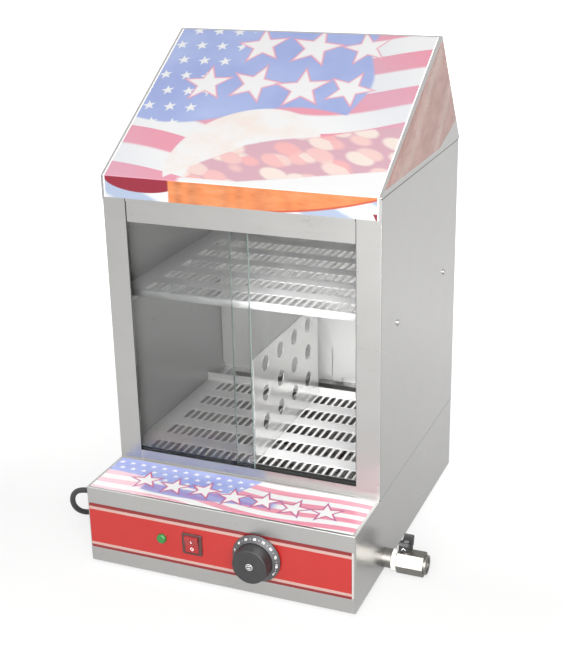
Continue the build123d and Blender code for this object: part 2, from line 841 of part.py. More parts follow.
# ======== tower ========
for name, side in (("tower_side_left", -1), ("tower_side_right", 1)):
    skin_side = Side.LEFT if side > 0 else Side.RIGHT
    flange_side = Side.RIGHT if side > 0 else Side.LEFT
    flange_start = rail_back + seat_gap
    lip_x = side_x - floor_flange - sheet
    with BuildPart() as tower_side:
        with BuildSketch(Plane.XY.offset(base_height)):
            add(
                bent(
                    [
                        (side * (side_x - stile_width), tower_y),
                        (side * side_x, tower_y),
                        (side * side_x, back_y),
                        (side * (side_x - flange_width), back_y),
                    ],
                    side=skin_side,
                )
            )
        extrude(amount=roof_z - base_height)
        with BuildSketch(Plane.XZ.offset(-flange_start)):
            add(
                bent(
                    [
                        (side * wall_x, base_height),
                        (side * lip_x, base_height),
                        (side * lip_x, tray_z),
                    ],
                    side=flange_side,
                )
            )
        extrude(amount=-(back_y - 2 * sheet - flange_start))
        with BuildSketch(Plane.XY.offset(roof_z - sheet)):
            with Locations((side * (wall_x - flange_width / 2), (rail_front + back_y - sheet) / 2)):
                Rectangle(flange_width, back_y - sheet - rail_front)
        extrude(amount=sheet)
        with BuildSketch():
            with Locations(*tower_screw_spots):
                Circle(screw_radius)
        extrude(amount=2 * roof_z, mode=Mode.SUBTRACT)
        with BuildSketch(Plane.YZ.offset(side * wall_x)):
            with Locations(*[(y, rivet_z) for y in rivet_spots]):
                Circle(rivet_radius)
        extrude(amount=side * sheet, mode=Mode.SUBTRACT)
        with BuildSketch(Plane.XZ.offset(-back_y)):
            with Locations(*back_rivet_spots):
                Circle(rivet_radius)
        extrude(amount=sheet, mode=Mode.SUBTRACT)
    pieces[name] = tower_side

with BuildPart() as back_panel:
    with BuildSketch(Plane.YZ.offset(-back_foot_x)):
        add(
            bent(
                [
                    (back_y - sheet - flange_width / 2, base_height),
                    (back_y - sheet, base_height),
                    (back_y - sheet, roof_z - 2 * sheet),
                ],
            )
        )
    extrude(amount=2 * back_foot_x)
    with BuildSketch(Plane.XZ.offset(-(back_y - 2 * sheet))):
        with Locations((0, (flange_z + roof_z - 2 * sheet) / 2)):
            Rectangle(2 * panel_x, roof_z - 2 * sheet - flange_z)
    extrude(amount=-sheet)
    with BuildSketch(Plane.XZ.offset(-(back_y - sheet))):
        with Locations(*back_rivet_spots):
            Circle(rivet_radius)
    extrude(amount=sheet, mode=Mode.SUBTRACT)
pieces["back_panel"] = back_panel

with BuildPart() as back_liner:
    liner_low = base_height + liner_bottom
    liner_high = roof_z - 2 * sheet - liner_top_gap
    with BuildSketch(Plane.XY.offset(liner_low)):
        add(
            bent(
                [
                    (-panel_x + liner_flange, back_y - 2 * sheet),
                    (-panel_x, back_y - 2 * sheet),
                    (-panel_x, liner_y - sheet),
                    (panel_x, liner_y - sheet),
                    (panel_x, back_y - 2 * sheet),
                    (panel_x - liner_flange, back_y - 2 * sheet),
                ],
            )
        )
    extrude(amount=liner_high - liner_low)
    with BuildSketch(Plane.XZ.offset(-(liner_y - sheet))):
        with Locations((slit_width + tongue_width / 2, liner_low - tongue_drop / 2)):
            Rectangle(tongue_width, tongue_drop)
    extrude(amount=-sheet)
    with BuildSketch(Plane.XZ.offset(-(liner_y - sheet))):
        with Locations((0, liner_low + slit_height / 2)):
            Rectangle(slit_width, slit_height)
    extrude(amount=-sheet, mode=Mode.SUBTRACT)
    with BuildSketch(Plane.XZ.offset(-back_y)):
        with Locations(*back_rivet_spots):
            Circle(rivet_radius)
    extrude(amount=3 * sheet, mode=Mode.SUBTRACT)
pieces["back_liner"] = back_liner

with BuildPart() as roof_panel:
    with BuildSketch(Plane.XY.offset(roof_z - 2 * sheet)):
        with Locations((0, (rail_front + back_y - sheet) / 2)):
            Rectangle(2 * panel_x, back_y - sheet - rail_front)
        with Locations(*tower_screw_spots):
            Circle(screw_radius, mode=Mode.SUBTRACT)
    extrude(amount=sheet)
pieces["roof_panel"] = roof_panel

rivet_seats = []
for side in (-1, 1):
    for y in rivet_spots:
        rivet_seats.append((Vector(side * side_x, y, rivet_z), Vector(-side, 0, 0), 2 * sheet))
for x, z in back_rivet_spots:
    rivet_seats.append((Vector(x, back_y, z), Vector(0, -1, 0), 3 * sheet))
with BuildPart() as rivets:
    for seat, way, grip in rivet_seats:
        with BuildSketch(Plane(seat, z_dir=way)):
            Circle(rivet_head)
        extrude(amount=-rivet_head_height)
        with BuildSketch(Plane(seat, z_dir=way)):
            Circle(rivet_radius - running_gap)
        extrude(amount=grip)
        with BuildSketch(Plane(seat + way * grip, z_dir=way)):
            Circle(rivet_head - rivet_radius / 4)
        extrude(amount=rivet_head_height / 2)
pieces["rivets"] = rivets

# ======== door tracks and doors ========
def rail_section(low, high, floor_low):
    # a channel's section: its two walls from low to high, and its web at floor_low
    with BuildSketch() as section:
        with BuildLine():
            Polyline(
                (rail_front, low),
                (rail_back, low),
                (rail_back, high),
                (rail_front, high),
                close=True,
            )
        make_face()
        with Locations((rail_front + rail_depth / 2, (low + high) / 2 + floor_low)):
            Rectangle(rail_depth - 2 * sheet, high - low, mode=Mode.SUBTRACT)
    return section.sketch


with BuildPart() as lower_rail:
    with BuildSketch(Plane.YZ.offset(-panel_x)):
        add(rail_section(flange_z, sill_z, sheet))
    extrude(amount=2 * panel_x)
pieces["lower_rail"] = lower_rail


def track_section(low, high, floor_side):
    # the liner's section: two grooves between three walls, with its floor at one side
    with BuildSketch() as section:
        with Locations(((track_front + track_back) / 2, (low + high) / 2)):
            Rectangle(track_back - track_front, high - low)
        groove_z = (low + high) / 2 + floor_side * track_floor
        for start in (front_groove, rear_groove):
            with Locations((start + groove_width / 2, groove_z)):
                Rectangle(groove_width, high - low, mode=Mode.SUBTRACT)
    return section.sketch


with BuildPart() as lower_track:
    with BuildSketch(Plane.YZ.offset(-panel_x)):
        add(track_section(flange_z + sheet, sill_z, 1))
    extrude(amount=2 * panel_x)
pieces["lower_track"] = lower_track

with BuildPart() as upper_track:
    with BuildSketch(Plane.YZ.offset(-panel_x)):
        add(track_section(lintel_z, track_top_z, -1))
    extrude(amount=2 * panel_x)
pieces["upper_track"] = upper_track

with BuildPart() as upper_rail:
    with BuildSketch(Plane.YZ.offset(-panel_x)):
        add(rail_section(lintel_z, track_top_z + sheet, -sheet))
        with Locations((rail_front + sheet / 2, (track_top_z + roof_z - 2 * sheet) / 2)):
            Rectangle(sheet, roof_z - 2 * sheet - track_top_z)
    extrude(amount=2 * panel_x)
pieces["upper_rail"] = upper_rail

doors = (
    ("door_front", front_groove, front_door_shift),
    ("door_rear", rear_groove, rear_door_shift),
)
for name, groove, shift in doors:
    with BuildPart() as door:
        door_x = shift - wall_x + door_width / 2
        with BuildSketch(Plane.XY.offset(glass_z)):
            with Locations((door_x, groove + groove_width / 2)):
                Rectangle(door_width, glass)
        extrude(amount=glass_height)
        chamfer(door.edges().filter_by(Axis.Y, reverse=True), length=glass_edge)
    pieces[name] = door

# ======== bun shelf ========
shelf_x = wall_x - side_play
with BuildPart() as bun_shelf:
    with BuildSketch(Plane.YZ.offset(-shelf_x)):
        add(
            bent(
                [
                    (shelf_front, shelf_z - shelf_lip),
                    (shelf_front, shelf_z),
                    (shelf_back, shelf_z),
                ],
                side=Side.RIGHT,
            )
        )
    extrude(amount=2 * shelf_x)
    slot_rows = shelf_row_pitch * (shelf_row_count - 1)
    with BuildSketch(Plane.XY.offset(shelf_z)):
        with Locations((0, shelf_front + shelf_row_start + slot_rows / 2)):
            with GridLocations(
                shelf_slot_pitch, shelf_row_pitch, shelf_slot_count, shelf_row_count
            ):
                Rectangle(shelf_slot_width, shelf_slot_length)
    extrude(amount=-sheet, mode=Mode.SUBTRACT)
pieces["bun_shelf"] = bun_shelf

with BuildPart() as shelf_supports:
    for side in (-1, 1):
        with BuildSketch(Plane.XZ.offset(-support_front)):
            add(
                bent(
                    [
                        (side * wall_x, shelf_z - sheet - support_height),
                        (side * wall_x, shelf_z - sheet),
                        (side * (wall_x - support_width), shelf_z - sheet),
                    ],
                    side=Side.LEFT if side > 0 else Side.RIGHT,
                )
            )
        extrude(amount=-(support_back - support_front))
    with BuildSketch(Plane.YZ):
        with Locations(*[(y, rivet_z) for y in rivet_spots]):
            Circle(rivet_radius)
    extrude(amount=wall_x, both=True, mode=Mode.SUBTRACT)
pieces["shelf_supports"] = shelf_supports

# ======== hot dog tray and divider ========
with BuildPart() as steam_tray:
    with BuildSketch(Plane.XY.offset(tray_z)):
        with Locations((0, tray_front + tray_depth / 2)):
            Rectangle(2 * (wall_x - side_play), tray_depth)
        tray_rows = tray_row_pitch * (tray_row_count - 1)
        with Locations((0, tray_front + tray_row_start + tray_rows / 2)):
            with GridLocations(tray_slot_pitch, tray_row_pitch, tray_slot_count, tray_row_count):
                Rectangle(tray_slot_width, tray_slot_length, mode=Mode.SUBTRACT)
    extrude(amount=sheet)
pieces["steam_tray"] = steam_tray

with BuildPart() as tray_stop:
    stop_back = tray_front + tray_depth
    with BuildSketch(Plane.YZ.offset(side_play - wall_x)):
        add(
            bent(
                [
                    (stop_back - stop_foot, tray_top),
                    (stop_back, tray_top),
                    (stop_back, tray_top + stop_height),
                ],
            )
        )
    extrude(amount=2 * (wall_x - side_play))
pieces["tray_stop"] = tray_stop

divider_y = tray_front + divider_front
divider_top = tray_top + divider_height
with BuildPart() as divider:
    with BuildSketch(Plane.XZ.offset(-divider_y)):
        add(
            bent(
                [
                    (divider_sheet / 2, divider_top),
                    (divider_sheet / 2, tray_top),
                    (divider_sheet / 2 - divider_foot, tray_top),
                ],
                thickness=divider_sheet,
                side=Side.RIGHT,
            )
        )
    extrude(amount=-divider_length)
    hole_y = divider_y + divider_hole_front + divider_pitch_y * (divider_columns - 1) / 2
    hole_z = divider_top - divider_hole_top - divider_pitch_z * (divider_rows - 1) / 2
    with BuildSketch(Plane.YZ):
        with Locations((hole_y, hole_z)):
            with GridLocations(divider_pitch_y, divider_pitch_z, divider_columns, divider_rows):
                Circle(divider_hole_radius)
    extrude(amount=divider_sheet, both=True, mode=Mode.SUBTRACT)
    with BuildSketch(Plane.XY.offset(tray_top)):
        for row in (0, tray_row_count - 1):
            with Locations((-tray_slot_pitch / 2, tray_front + tray_row_start + row * tray_row_pitch)):
                Rectangle(divider_sheet, tab_length)
    extrude(amount=-tab_drop)
pieces["divider"] = divider

# ======== marquee ========
lip_foot = (lip_y, roof_z - lip_height)
lip_edge = (lip_y, lip_top)
ridge = (ridge_y, ridge_z)
wrap_end = (ridge_y + ridge_wrap * cos(back_slope), ridge_z - ridge_wrap * sin(back_slope))
with BuildPart() as marquee_front:
    with BuildSketch(Plane.YZ.offset(-side_x)):
        add(bent([lip_foot, lip_edge, ridge, wrap_end], side=Side.RIGHT))
    extrude(amount=cabinet_width)
pieces["marquee_front"] = marquee_front

slope_plane = Plane(
    origin=(0, (lip_y + ridge_y) / 2, (lip_top + ridge_z) / 2),
    x_dir=(1, 0, 0),
    z_dir=(0, -sin(slope), cos(slope)),
)


def wedge(inset):
    # the marquee's side outline, drawn in from the outer skin
    with BuildSketch() as section:
        with BuildLine():
            Polyline(
                (lip_y, roof_z - sheet),
                lip_edge,
                ridge,
                (marquee_back + sheet / tan(back_slope), roof_z - sheet),
                close=True,
            )
        make_face()
        offset(amount=-inset, kind=Kind.INTERSECTION)
        corners = section.vertices()
        fillet([corners.sort_by(Axis.Y)[-1], corners.sort_by(Axis.X)[:2].sort_by(Axis.Y)[-1]], bend_radius)
    return section.sketch


with BuildPart() as marquee_body:
    with BuildSketch(Plane.YZ.offset(-side_x)):
        add(wedge(sheet))
    extrude(amount=cabinet_width)
    with BuildSketch(Plane.YZ.offset(-wall_x)):
        add(wedge(2 * sheet))
    extrude(amount=2 * wall_x, mode=Mode.SUBTRACT)
    with BuildSketch(slope_plane):
        Rectangle(2 * (wall_x - flange_width), slope_length - 4 * flange_width)
    extrude(amount=3 * sheet, both=True, mode=Mode.SUBTRACT)
    with BuildSketch(Plane.XY.offset(roof_z)):
        with Locations((0, (tower_y + back_y) / 2)):
            Rectangle(2 * (wall_x - flange_width), back_y - tower_y - 4 * flange_width)
        with Locations(*tower_screw_spots):
            Circle(screw_radius)
    extrude(amount=sheet, mode=Mode.SUBTRACT)
pieces["marquee_body"] = marquee_body

with BuildPart() as marquee_print:
    print_start = (lip_y, roof_z - lip_height + print_margin)
    print_end = (
        ridge_y - print_margin * cos(slope),
        ridge_z - print_margin * sin(slope),
    )
    with BuildSketch(Plane.YZ.offset(print_margin - side_x)):
        add(bent([print_start, lip_edge, print_end], thickness=film))
    extrude(amount=cabinet_width - 2 * print_margin)
pieces["marquee_print"] = marquee_print

with BuildPart() as marquee_side_prints:
    film_back = marquee_back - side_print_back / tan(back_slope) - print_margin
    for side in (-1, 1):
        with BuildSketch(Plane.YZ.offset(side * side_x)):
            with BuildLine():
                Polyline(
                    (tower_y + side_print_lead, roof_z + side_print_front),
                    (ridge_y - print_margin, ridge_z - 2 * print_margin),
                    (ridge_y + print_margin, ridge_z - 2 * print_margin),
                    (film_back, roof_z + side_print_back),
                    (tower_y + 2 * side_print_turn, roof_z + side_print_front),
                    close=True,
                )
            make_face()
        extrude(amount=side * film)
pieces["marquee_side_prints"] = marquee_side_prints

# ======== drain ========
def drain_plane(x, way=1):
    # plane across the drain's axis
    return Plane(origin=(x, drain_y, drain_z), x_dir=(0, way, 0), z_dir=(way, 0, 0))


socket_end = side_x + socket_proud
with BuildPart() as drain_socket:
    with BuildSketch(drain_plane(tank_x)):
        Circle(socket_radius)
    extrude(amount=socket_end - tank_x)
    chamfer(drain_socket.edges().group_by(Axis.X)[-1], length=outlet_chamfer)
    with BuildSketch(drain_plane(tank_x)):
        Circle(drain_bore)
    extrude(amount=socket_end - tank_x, mode=Mode.SUBTRACT)
    with BuildSketch(drain_plane(socket_end - spigot_length - seat_gap)):
        Circle(spigot_radius + thread_gap)
    extrude(amount=spigot_length + seat_gap, mode=Mode.SUBTRACT)
pieces["drain_socket"] = drain_socket

valve_x = socket_end + ring_width  # the valve's shoulder
with BuildPart() as sealing_ring:
    with BuildSketch(drain_plane(socket_end)):
        Circle(ring_radius)
        Circle(spigot_radius + seat_gap, mode=Mode.SUBTRACT)
    extrude(amount=ring_width)
    chamfer(sealing_ring.edges().filter_by(GeomType.CIRCLE).group_by(SortBy.RADIUS)[-1],
            length=outlet_chamfer)
pieces["sealing_ring"] = sealing_ring

seat_start = valve_x + valve_shoulder
ball_x = seat_start + seat_width + seat_ball_gap
retainer_x = ball_x + seat_ball_gap + seat_width
outlet_x = valve_x + valve_length
stem_top = drain_z + valve_across / 2 + stem_boss_height
with BuildPart() as valve_body:
    with BuildSketch(drain_plane(valve_x)):
        RegularPolygon(valve_across / 2, 6, major_radius=False)
    extrude(amount=valve_length - collar_length)
    chamfer(valve_body.edges().group_by(Axis.X)[0], length=outlet_chamfer)
    with BuildSketch(drain_plane(outlet_x - collar_length)):
        Circle(valve_collar)
    extrude(amount=collar_length)
    with BuildSketch(drain_plane(valve_x - ring_width - spigot_length)):
        Circle(spigot_radius)
    extrude(amount=spigot_length + ring_width)
    with BuildSketch(Plane((ball_x, drain_y, drain_z))):
        Circle(stem_boss)
    extrude(amount=stem_top - drain_z)
    with BuildSketch(drain_plane(valve_x - ring_width - spigot_length)):
        Circle(valve_bore)
    extrude(amount=valve_length + ring_width + spigot_length, mode=Mode.SUBTRACT)
    with BuildSketch(drain_plane(seat_start)):
        Circle(valve_cavity)
    extrude(amount=outlet_x - seat_start, mode=Mode.SUBTRACT)
    with BuildSketch(drain_plane(retainer_x + retainer_width)):
        Circle(outlet_radius)
    extrude(amount=outlet_x - retainer_x - retainer_width, mode=Mode.SUBTRACT)
    with BuildSketch(Plane((ball_x, drain_y, drain_z))):
        Circle(stem_radius + running_gap)
    extrude(amount=stem_top - drain_z, mode=Mode.SUBTRACT)
pieces["valve_body"] = valve_body

with BuildPart() as valve_seats:
    for way in (-1, 1):
        seat_x = ball_x - way * (seat_ball_gap + seat_width)
        with BuildSketch(drain_plane(seat_x, way)):
            Circle(valve_cavity - running_gap)
            Circle(valve_bore, mode=Mode.SUBTRACT)
        extrude(amount=seat_width)
    with BuildSketch(Plane.XZ.offset(-drain_y)):
        with BuildLine():
            CenterArc((ball_x, drain_z), ball_radius + ball_gap, 0, 180)
            Line(
                (ball_x - ball_radius - ball_gap, drain_z),
                (ball_x + ball_radius + ball_gap, drain_z),
            )
        make_face()
    revolve(axis=Axis((ball_x, drain_y, drain_z), (1, 0, 0)), mode=Mode.SUBTRACT)
pieces["valve_seats"] = valve_seats

with BuildPart() as valve_retainer:
    with BuildSketch(drain_plane(retainer_x)):
        Circle(valve_cavity - running_gap)
        Circle(valve_bore, mode=Mode.SUBTRACT)
    extrude(amount=retainer_width)
    with BuildSketch(drain_plane(retainer_x + retainer_width)):
        Rectangle(2 * valve_cavity, tang_width)
    extrude(amount=-retainer_width / 2, mode=Mode.SUBTRACT)
pieces["valve_retainer"] = valve_retainer

with BuildPart() as valve_ball:
    with BuildSketch(Plane.XZ.offset(-drain_y)):
        with BuildLine():
            CenterArc((ball_x, drain_z), ball_radius, 0, 180)
            Line((ball_x - ball_radius, drain_z), (ball_x + ball_radius, drain_z))
        make_face()
    revolve(axis=Axis((ball_x, drain_y, drain_z), (1, 0, 0)))
    with BuildSketch(across(ball_x, drain_y, drain_z, 1)):
        Circle(ball_bore)
    extrude(amount=2 * ball_radius, both=True, mode=Mode.SUBTRACT)
    with BuildSketch(Plane((ball_x, drain_y, drain_z + ball_radius))):
        Rectangle(tang_length + running_gap, tang_width + running_gap)
    extrude(amount=-tang_depth, mode=Mode.SUBTRACT)
pieces["valve_ball"] = valve_ball

handle_bottom = stem_top + handle_lift
handle_seat = handle_bottom + handle_dip - handle_screw_sink
with BuildPart() as valve_stem:
    with BuildSketch(Plane((ball_x, drain_y, drain_z + ball_radius - tang_depth + running_gap))):
        Rectangle(tang_length, tang_width)
        Circle(stem_radius, mode=Mode.INTERSECT)
    extrude(amount=tang_depth)
    with BuildSketch(Plane((ball_x, drain_y, drain_z + ball_radius + running_gap))):
        Circle(stem_radius)
    extrude(amount=handle_bottom + handle_dip / 2 - drain_z - ball_radius - running_gap)
    with BuildSketch(Plane((ball_x, drain_y, handle_bottom + handle_dip / 2))):
        Circle(knob_screw_radius)
    extrude(amount=-knob_screw_length, mode=Mode.SUBTRACT)
pieces["valve_stem"] = valve_stem

with BuildPart() as valve_handle:
    with BuildSketch(Plane.YZ.offset(ball_x - handle_width / 2)):
        half = handle_length / 2
        wing_top = handle_bottom + handle_wing
        outline = [
            (half - handle_tuck, handle_bottom),
            (half, wing_top - handle_tip),
            (half - handle_tip_inset, wing_top),
        ]
        with BuildLine():
            Polyline(*[(drain_y + reach, height) for reach, height in outline])
            ThreePointArc(
                (drain_y + outline[-1][0], wing_top),
                (drain_y, handle_bottom + handle_dip),
                (drain_y - outline[-1][0], wing_top),
            )
            Polyline(*[(drain_y - reach, height) for reach, height in reversed(outline)])
            Line((drain_y - outline[0][0], handle_bottom), (drain_y + outline[0][0], handle_bottom))
        make_face()
    extrude(amount=handle_width)
    with BuildSketch(Plane((ball_x, drain_y, handle_bottom))):
        Circle(handle_hub)
    extrude(amount=handle_dip)
    chamfer(valve_handle.edges().filter_by(GeomType.LINE).filter_by(Axis.X).group_by(Axis.Z)[-1],
            length=outlet_chamfer)
    with BuildSketch(Plane((ball_x, drain_y, handle_bottom))):
        Circle(stem_radius)
    extrude(amount=handle_dip / 2, mode=Mode.SUBTRACT)
    with BuildSketch(Plane((ball_x, drain_y, handle_bottom))):
        Circle(knob_screw_radius + running_gap)
    extrude(amount=handle_wing, mode=Mode.SUBTRACT)
    with BuildSketch(Plane((ball_x, drain_y, handle_seat))):
        Circle(handle_screw_head + seat_gap)
    extrude(amount=handle_wing, mode=Mode.SUBTRACT)
pieces["valve_handle"] = valve_handle

with BuildPart() as handle_screw:
    with BuildSketch(Plane((ball_x, drain_y, handle_seat))):
        Circle(handle_screw_head)
    extrude(amount=screw_head_height)
    with BuildSketch(Plane((ball_x, drain_y, handle_seat))):
        Circle(knob_screw_radius - running_gap)
    extrude(amount=-knob_screw_length)
pieces["handle_screw"] = handle_screw

# ======== supply ========
gland_axis = Axis((-side_x, gland_y, gland_z), (-1, 0, 0))
with BuildPart() as cord_gland:
    gland_plane = Plane(origin=(-side_x, gland_y, gland_z), x_dir=(-1, 0, 0), z_dir=(0, 1, 0))
    with BuildSketch(gland_plane):
        with BuildLine():
            Polyline(
                (-sheet - gland_lock_thick, cord_diameter / 2 + running_gap),
                (-sheet - gland_lock_thick, gland_neck),
                (-sheet, gland_lock),
                (-sheet, gland_neck),
                (0, gland_neck),
                (0, gland_flange),
                (gland_flange_rim, gland_flange),
                (gland_flange_thick, gland_root),
                (gland_length, gland_tip),
                (gland_length, cord_diameter / 2 + running_gap),
                close=True,
            )
        make_face()
    revolve(axis=gland_axis)
pieces["cord_gland"] = cord_gland

cord_radius = cord_diameter / 2
lying_z = ground_z + cord_radius
cord_route = [
    (-184.0, gland_y, gland_z),
    (-212.0, gland_y, gland_z),
    (-234.0, -148.0, 52.0),
    (-242.0, -137.0, 27.0),
    (-238.0, -120.0, 8.0),
    (-225.0, -92.0, lying_z),
    (-211.0, -48.0, lying_z),
    (-201.0, 20.0, lying_z),
    (-206.0, 86.0, lying_z),
    (-203.0, 150.0, lying_z),
    (-193.0, 206.0, lying_z),
    (-168.0, 252.0, lying_z),
    (-133.0, 287.0, lying_z),
]
cord_bends = []
for before, here, after in zip(cord_route, cord_route[1:], cord_route[2:]):
    run_in = Vector(*here) - Vector(*before)
    run_out = Vector(*after) - Vector(*here)
    turn = radians(run_in.get_angle(run_out))
    cord_bends.append(0.45 * min(run_in.length, run_out.length) / tan(turn / 2))
print("cord bend radii:", [round(bend, 1) for bend in cord_bends])

with BuildPart() as cord:
    with BuildLine() as cord_line:
        FilletPolyline(*cord_route, radius=cord_bends)
    with BuildSketch(Plane(cord_line.line @ 0, z_dir=cord_line.line % 0)):
        RegularPolygon(cord_radius, cord_sides)
    sweep()
pieces["cord"] = cord

coil_start = Vector(*cord_route[-1])
coil_way = (coil_start - Vector(*cord_route[-2])).normalized()
first_angle = atan2(coil_way.X, -coil_way.Y)  # the coil runs clockwise
coil_centre = (
    coil_start
    + coil_way * cord_diameter
    - Vector(cos(first_angle), sin(first_angle)) * coil_radius
)
climb_from = coil_turns / 2 - 0.25


def coil_point(turn):
    # middle of the cord after some turns: inwards on the floor, a climb, outwards on top
    inward = min(turn, coil_turns - turn)
    climb = min(max((turn - climb_from) / 0.5, 0), 1)
    radius = coil_radius - coil_step * inward
    angle = first_angle - 2 * pi * turn
    rise = coil_lift * (climb - sin(2 * pi * climb) / (2 * pi))
    return coil_centre + Vector(radius * cos(angle), radius * sin(angle), rise)


def coil_heading(turn):
    small = 0.001
    return (coil_point(turn + small) - coil_point(turn - small)).normalized()


def biarc_joint(start, start_way, end, end_way):
    # where two arcs meet that leave and reach the ends along their headings
    chord = end - start
    spread = start_way + end_way
    bend = 2 * (1 - start_way.dot(end_way))
    along = chord.dot(spread)
    reach = (sqrt(along * along + bend * chord.dot(chord)) - along) / bend
    return (start + end + (start_way - end_way) * reach) / 2


coil_steps = int(4 * coil_turns)
coil_marks = [coil_turns * step / coil_steps for step in range(coil_steps + 1)]
exit_point = coil_point(coil_turns)
with BuildPart() as cord_coil:
    with BuildLine() as coil_line:
        Line(coil_start, coil_start + coil_way * cord_diameter)
        for here, there in zip(coil_marks, coil_marks[1:]):
            way = coil_heading(here) if here else coil_way
            joint = biarc_joint(coil_point(here), way, coil_point(there), coil_heading(there))
            first_arc = TangentArc(coil_point(here), joint, tangent=way)
            TangentArc(joint, coil_point(there), tangent=first_arc % 1)
        Line(exit_point, exit_point + coil_heading(coil_turns) * coil_lead)
    with BuildSketch(Plane(coil_line.line @ 0, z_dir=coil_line.line % 0)):
        RegularPolygon(cord_radius, cord_sides)
    sweep()
pieces["cord_coil"] = cord_coil

plug_way = coil_heading(coil_turns)
plug_start = exit_point + plug_way * coil_lead
plug_side = Vector(plug_way.Y, -plug_way.X)
plug_thick = 2 * (plug_start.Z - ground_z)  # it lies flat on its side


def plug_plane(along):
    # plane across the plug: its X lies level, its Y up
    return Plane(origin=plug_start + plug_way * along, x_dir=-plug_side, z_dir=plug_way)


with BuildPart() as plug:
    with BuildSketch(plug_plane(0)):
        RectangleRounded(2 * plug_nose, 2 * plug_nose, plug_round)
    with BuildSketch(plug_plane(plug_taper)):
        RectangleRounded(plug_width, plug_thick, plug_round)
    loft()
    with BuildSketch(plug_plane(plug_taper)):
        RectangleRounded(plug_width, plug_thick, plug_round)
    extrude(amount=plug_length - plug_taper)
pieces["plug"] = plug

with BuildPart() as plug_pins:
    with BuildSketch(plug_plane(plug_length)):
        with Locations((-pin_pitch / 2, -earth_rise / 2), (pin_pitch / 2, -earth_rise / 2)):
            Rectangle(pin_thick, pin_wide)
        with Locations((0, earth_rise)):
            Circle(earth_pin)
    extrude(amount=pin_length)
pieces["plug_pins"] = plug_pins

# ======== wiring ========
block_top = sheet + block_height
pole_floor = block_top - block_height / 3 + wire_gap
earth_x, live_x, neutral_x = (block_x + pole_pitch * step for step in (-1, 0, 1))
lead_row = front_y + block_back + block_depth / 4
loom_row = front_y + block_back - block_depth / 4
loom_y = front_y + loom_back
run_z = block_top + wire_rise
core_x = cord_route[0][0] + wire_gap
low_core_z = gland_z - core_spread / 2
core_side = core_spread * cos(pi / 6)
switch_rear = pivot_y + pocket_radius + switch_back_wall + wire_gap
thermostat_rear = front_y + sheet + thermostat_depth + wire_gap
lamp_rear = film_y + lamp_length + wire_gap
contact_z = control_z - contact_spread
upper_z = control_z + contact_spread
lamp_side = lamp_neck / 2
switch_in, switch_out = switch_x - contact_spread, switch_x + contact_spread
feed_x, heat_x = knob_x - 2 * contact_spread, knob_x + 2 * contact_spread
signal_x = knob_x - contact_spread
signal_y = loom_y + 2 * contact_spread
heater_end = tail_y - wire_gap
heater_turn = heater_end - heater_drop

wire_routes = [
    [(core_x, gland_y - core_side, low_core_z), (earth_x, gland_y - core_side, low_core_z),
     (earth_x, lead_row, pole_floor)],
    [(core_x, gland_y + core_side, low_core_z), (live_x, gland_y + core_side, low_core_z),
     (live_x, lead_row, pole_floor)],
    [(core_x, gland_y, gland_z + core_spread), (neutral_x, gland_y, gland_z + core_spread),
     (neutral_x, lead_row, pole_floor)],
    # earth to the floor
    [(earth_x, loom_row, pole_floor), (earth_x, loom_row, run_z),
     (earth_x - block_depth, loom_row - block_height, run_z),
     (earth_x - block_depth, loom_row - block_height, sheet + wire_gap)],
    # live to the switch, on to the thermostat, and to the heater
    [(live_x, loom_row, pole_floor), (live_x, loom_row, run_z), (switch_in, loom_row, contact_z),
     (switch_in, switch_rear, contact_z)],
    [(switch_out, switch_rear, contact_z), (switch_out, loom_y, contact_z),
     (feed_x, loom_y, contact_z), (feed_x, thermostat_rear, contact_z)],
    [(heat_x, thermostat_rear, contact_z), (heat_x, heater_turn, contact_z),
     (heater_leg, heater_turn, heater_height), (heater_leg, heater_end, heater_height)],
    # heater and lamp back to neutral
    [(neutral_x - wire_pair, loom_row, pole_floor), (neutral_x - wire_pair, loom_row, run_z - wire_bend),
     (-heater_leg, heater_turn, heater_height), (-heater_leg, heater_end, heater_height)],
    [(neutral_x + wire_pair, loom_row, pole_floor), (neutral_x + wire_pair, loom_row, run_z - wire_bend),
     (lamp_x - lamp_side, signal_y, control_z), (lamp_x - lamp_side, lamp_rear, control_z)],
    # the lamp's own feed
    [(signal_x, thermostat_rear, upper_z), (signal_x, signal_y, upper_z),
     (lamp_x + lamp_side, signal_y, control_z), (lamp_x + lamp_side, lamp_rear, control_z)],
]
with BuildPart() as wiring:
    for route in wire_routes:
        with BuildLine() as wire_line:
            FilletPolyline(*route, radius=wire_bend)
        with BuildSketch(Plane(wire_line.line @ 0, z_dir=wire_line.line % 0)):
            RegularPolygon(wire_radius, 6)
        sweep()
pieces["wiring"] = wiring

coil_points = [coil_point(coil_turns * step / 480) for step in range(481)]
near_turn = 60  # points closer along the cord than this are the same turn
least = min(
    (a - b).length
    for step, a in enumerate(coil_points)
    for b in coil_points[step + near_turn:]
)
print("coil: least gap to itself", round(least - cord_diameter, 2))
for name, line, piece in (("cord", cord_line, cord), ("coil", coil_line, cord_coil)):
    section = cord_sides / 2 * cord_radius**2 * sin(2 * pi / cord_sides)
    length = sum(edge.length for edge in line.edges())
    print(name, "length", round(length, 1), "volume", round(piece.part.volume / (section * length), 4))

for name, piece in pieces.items():
    piece.part.label = name
    export_step(piece.part, f"parts/{name}.step")
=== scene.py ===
from math import atan2, cos, pi, radians, sin
import bmesh
import bpy
from mathutils import Matrix, Vector


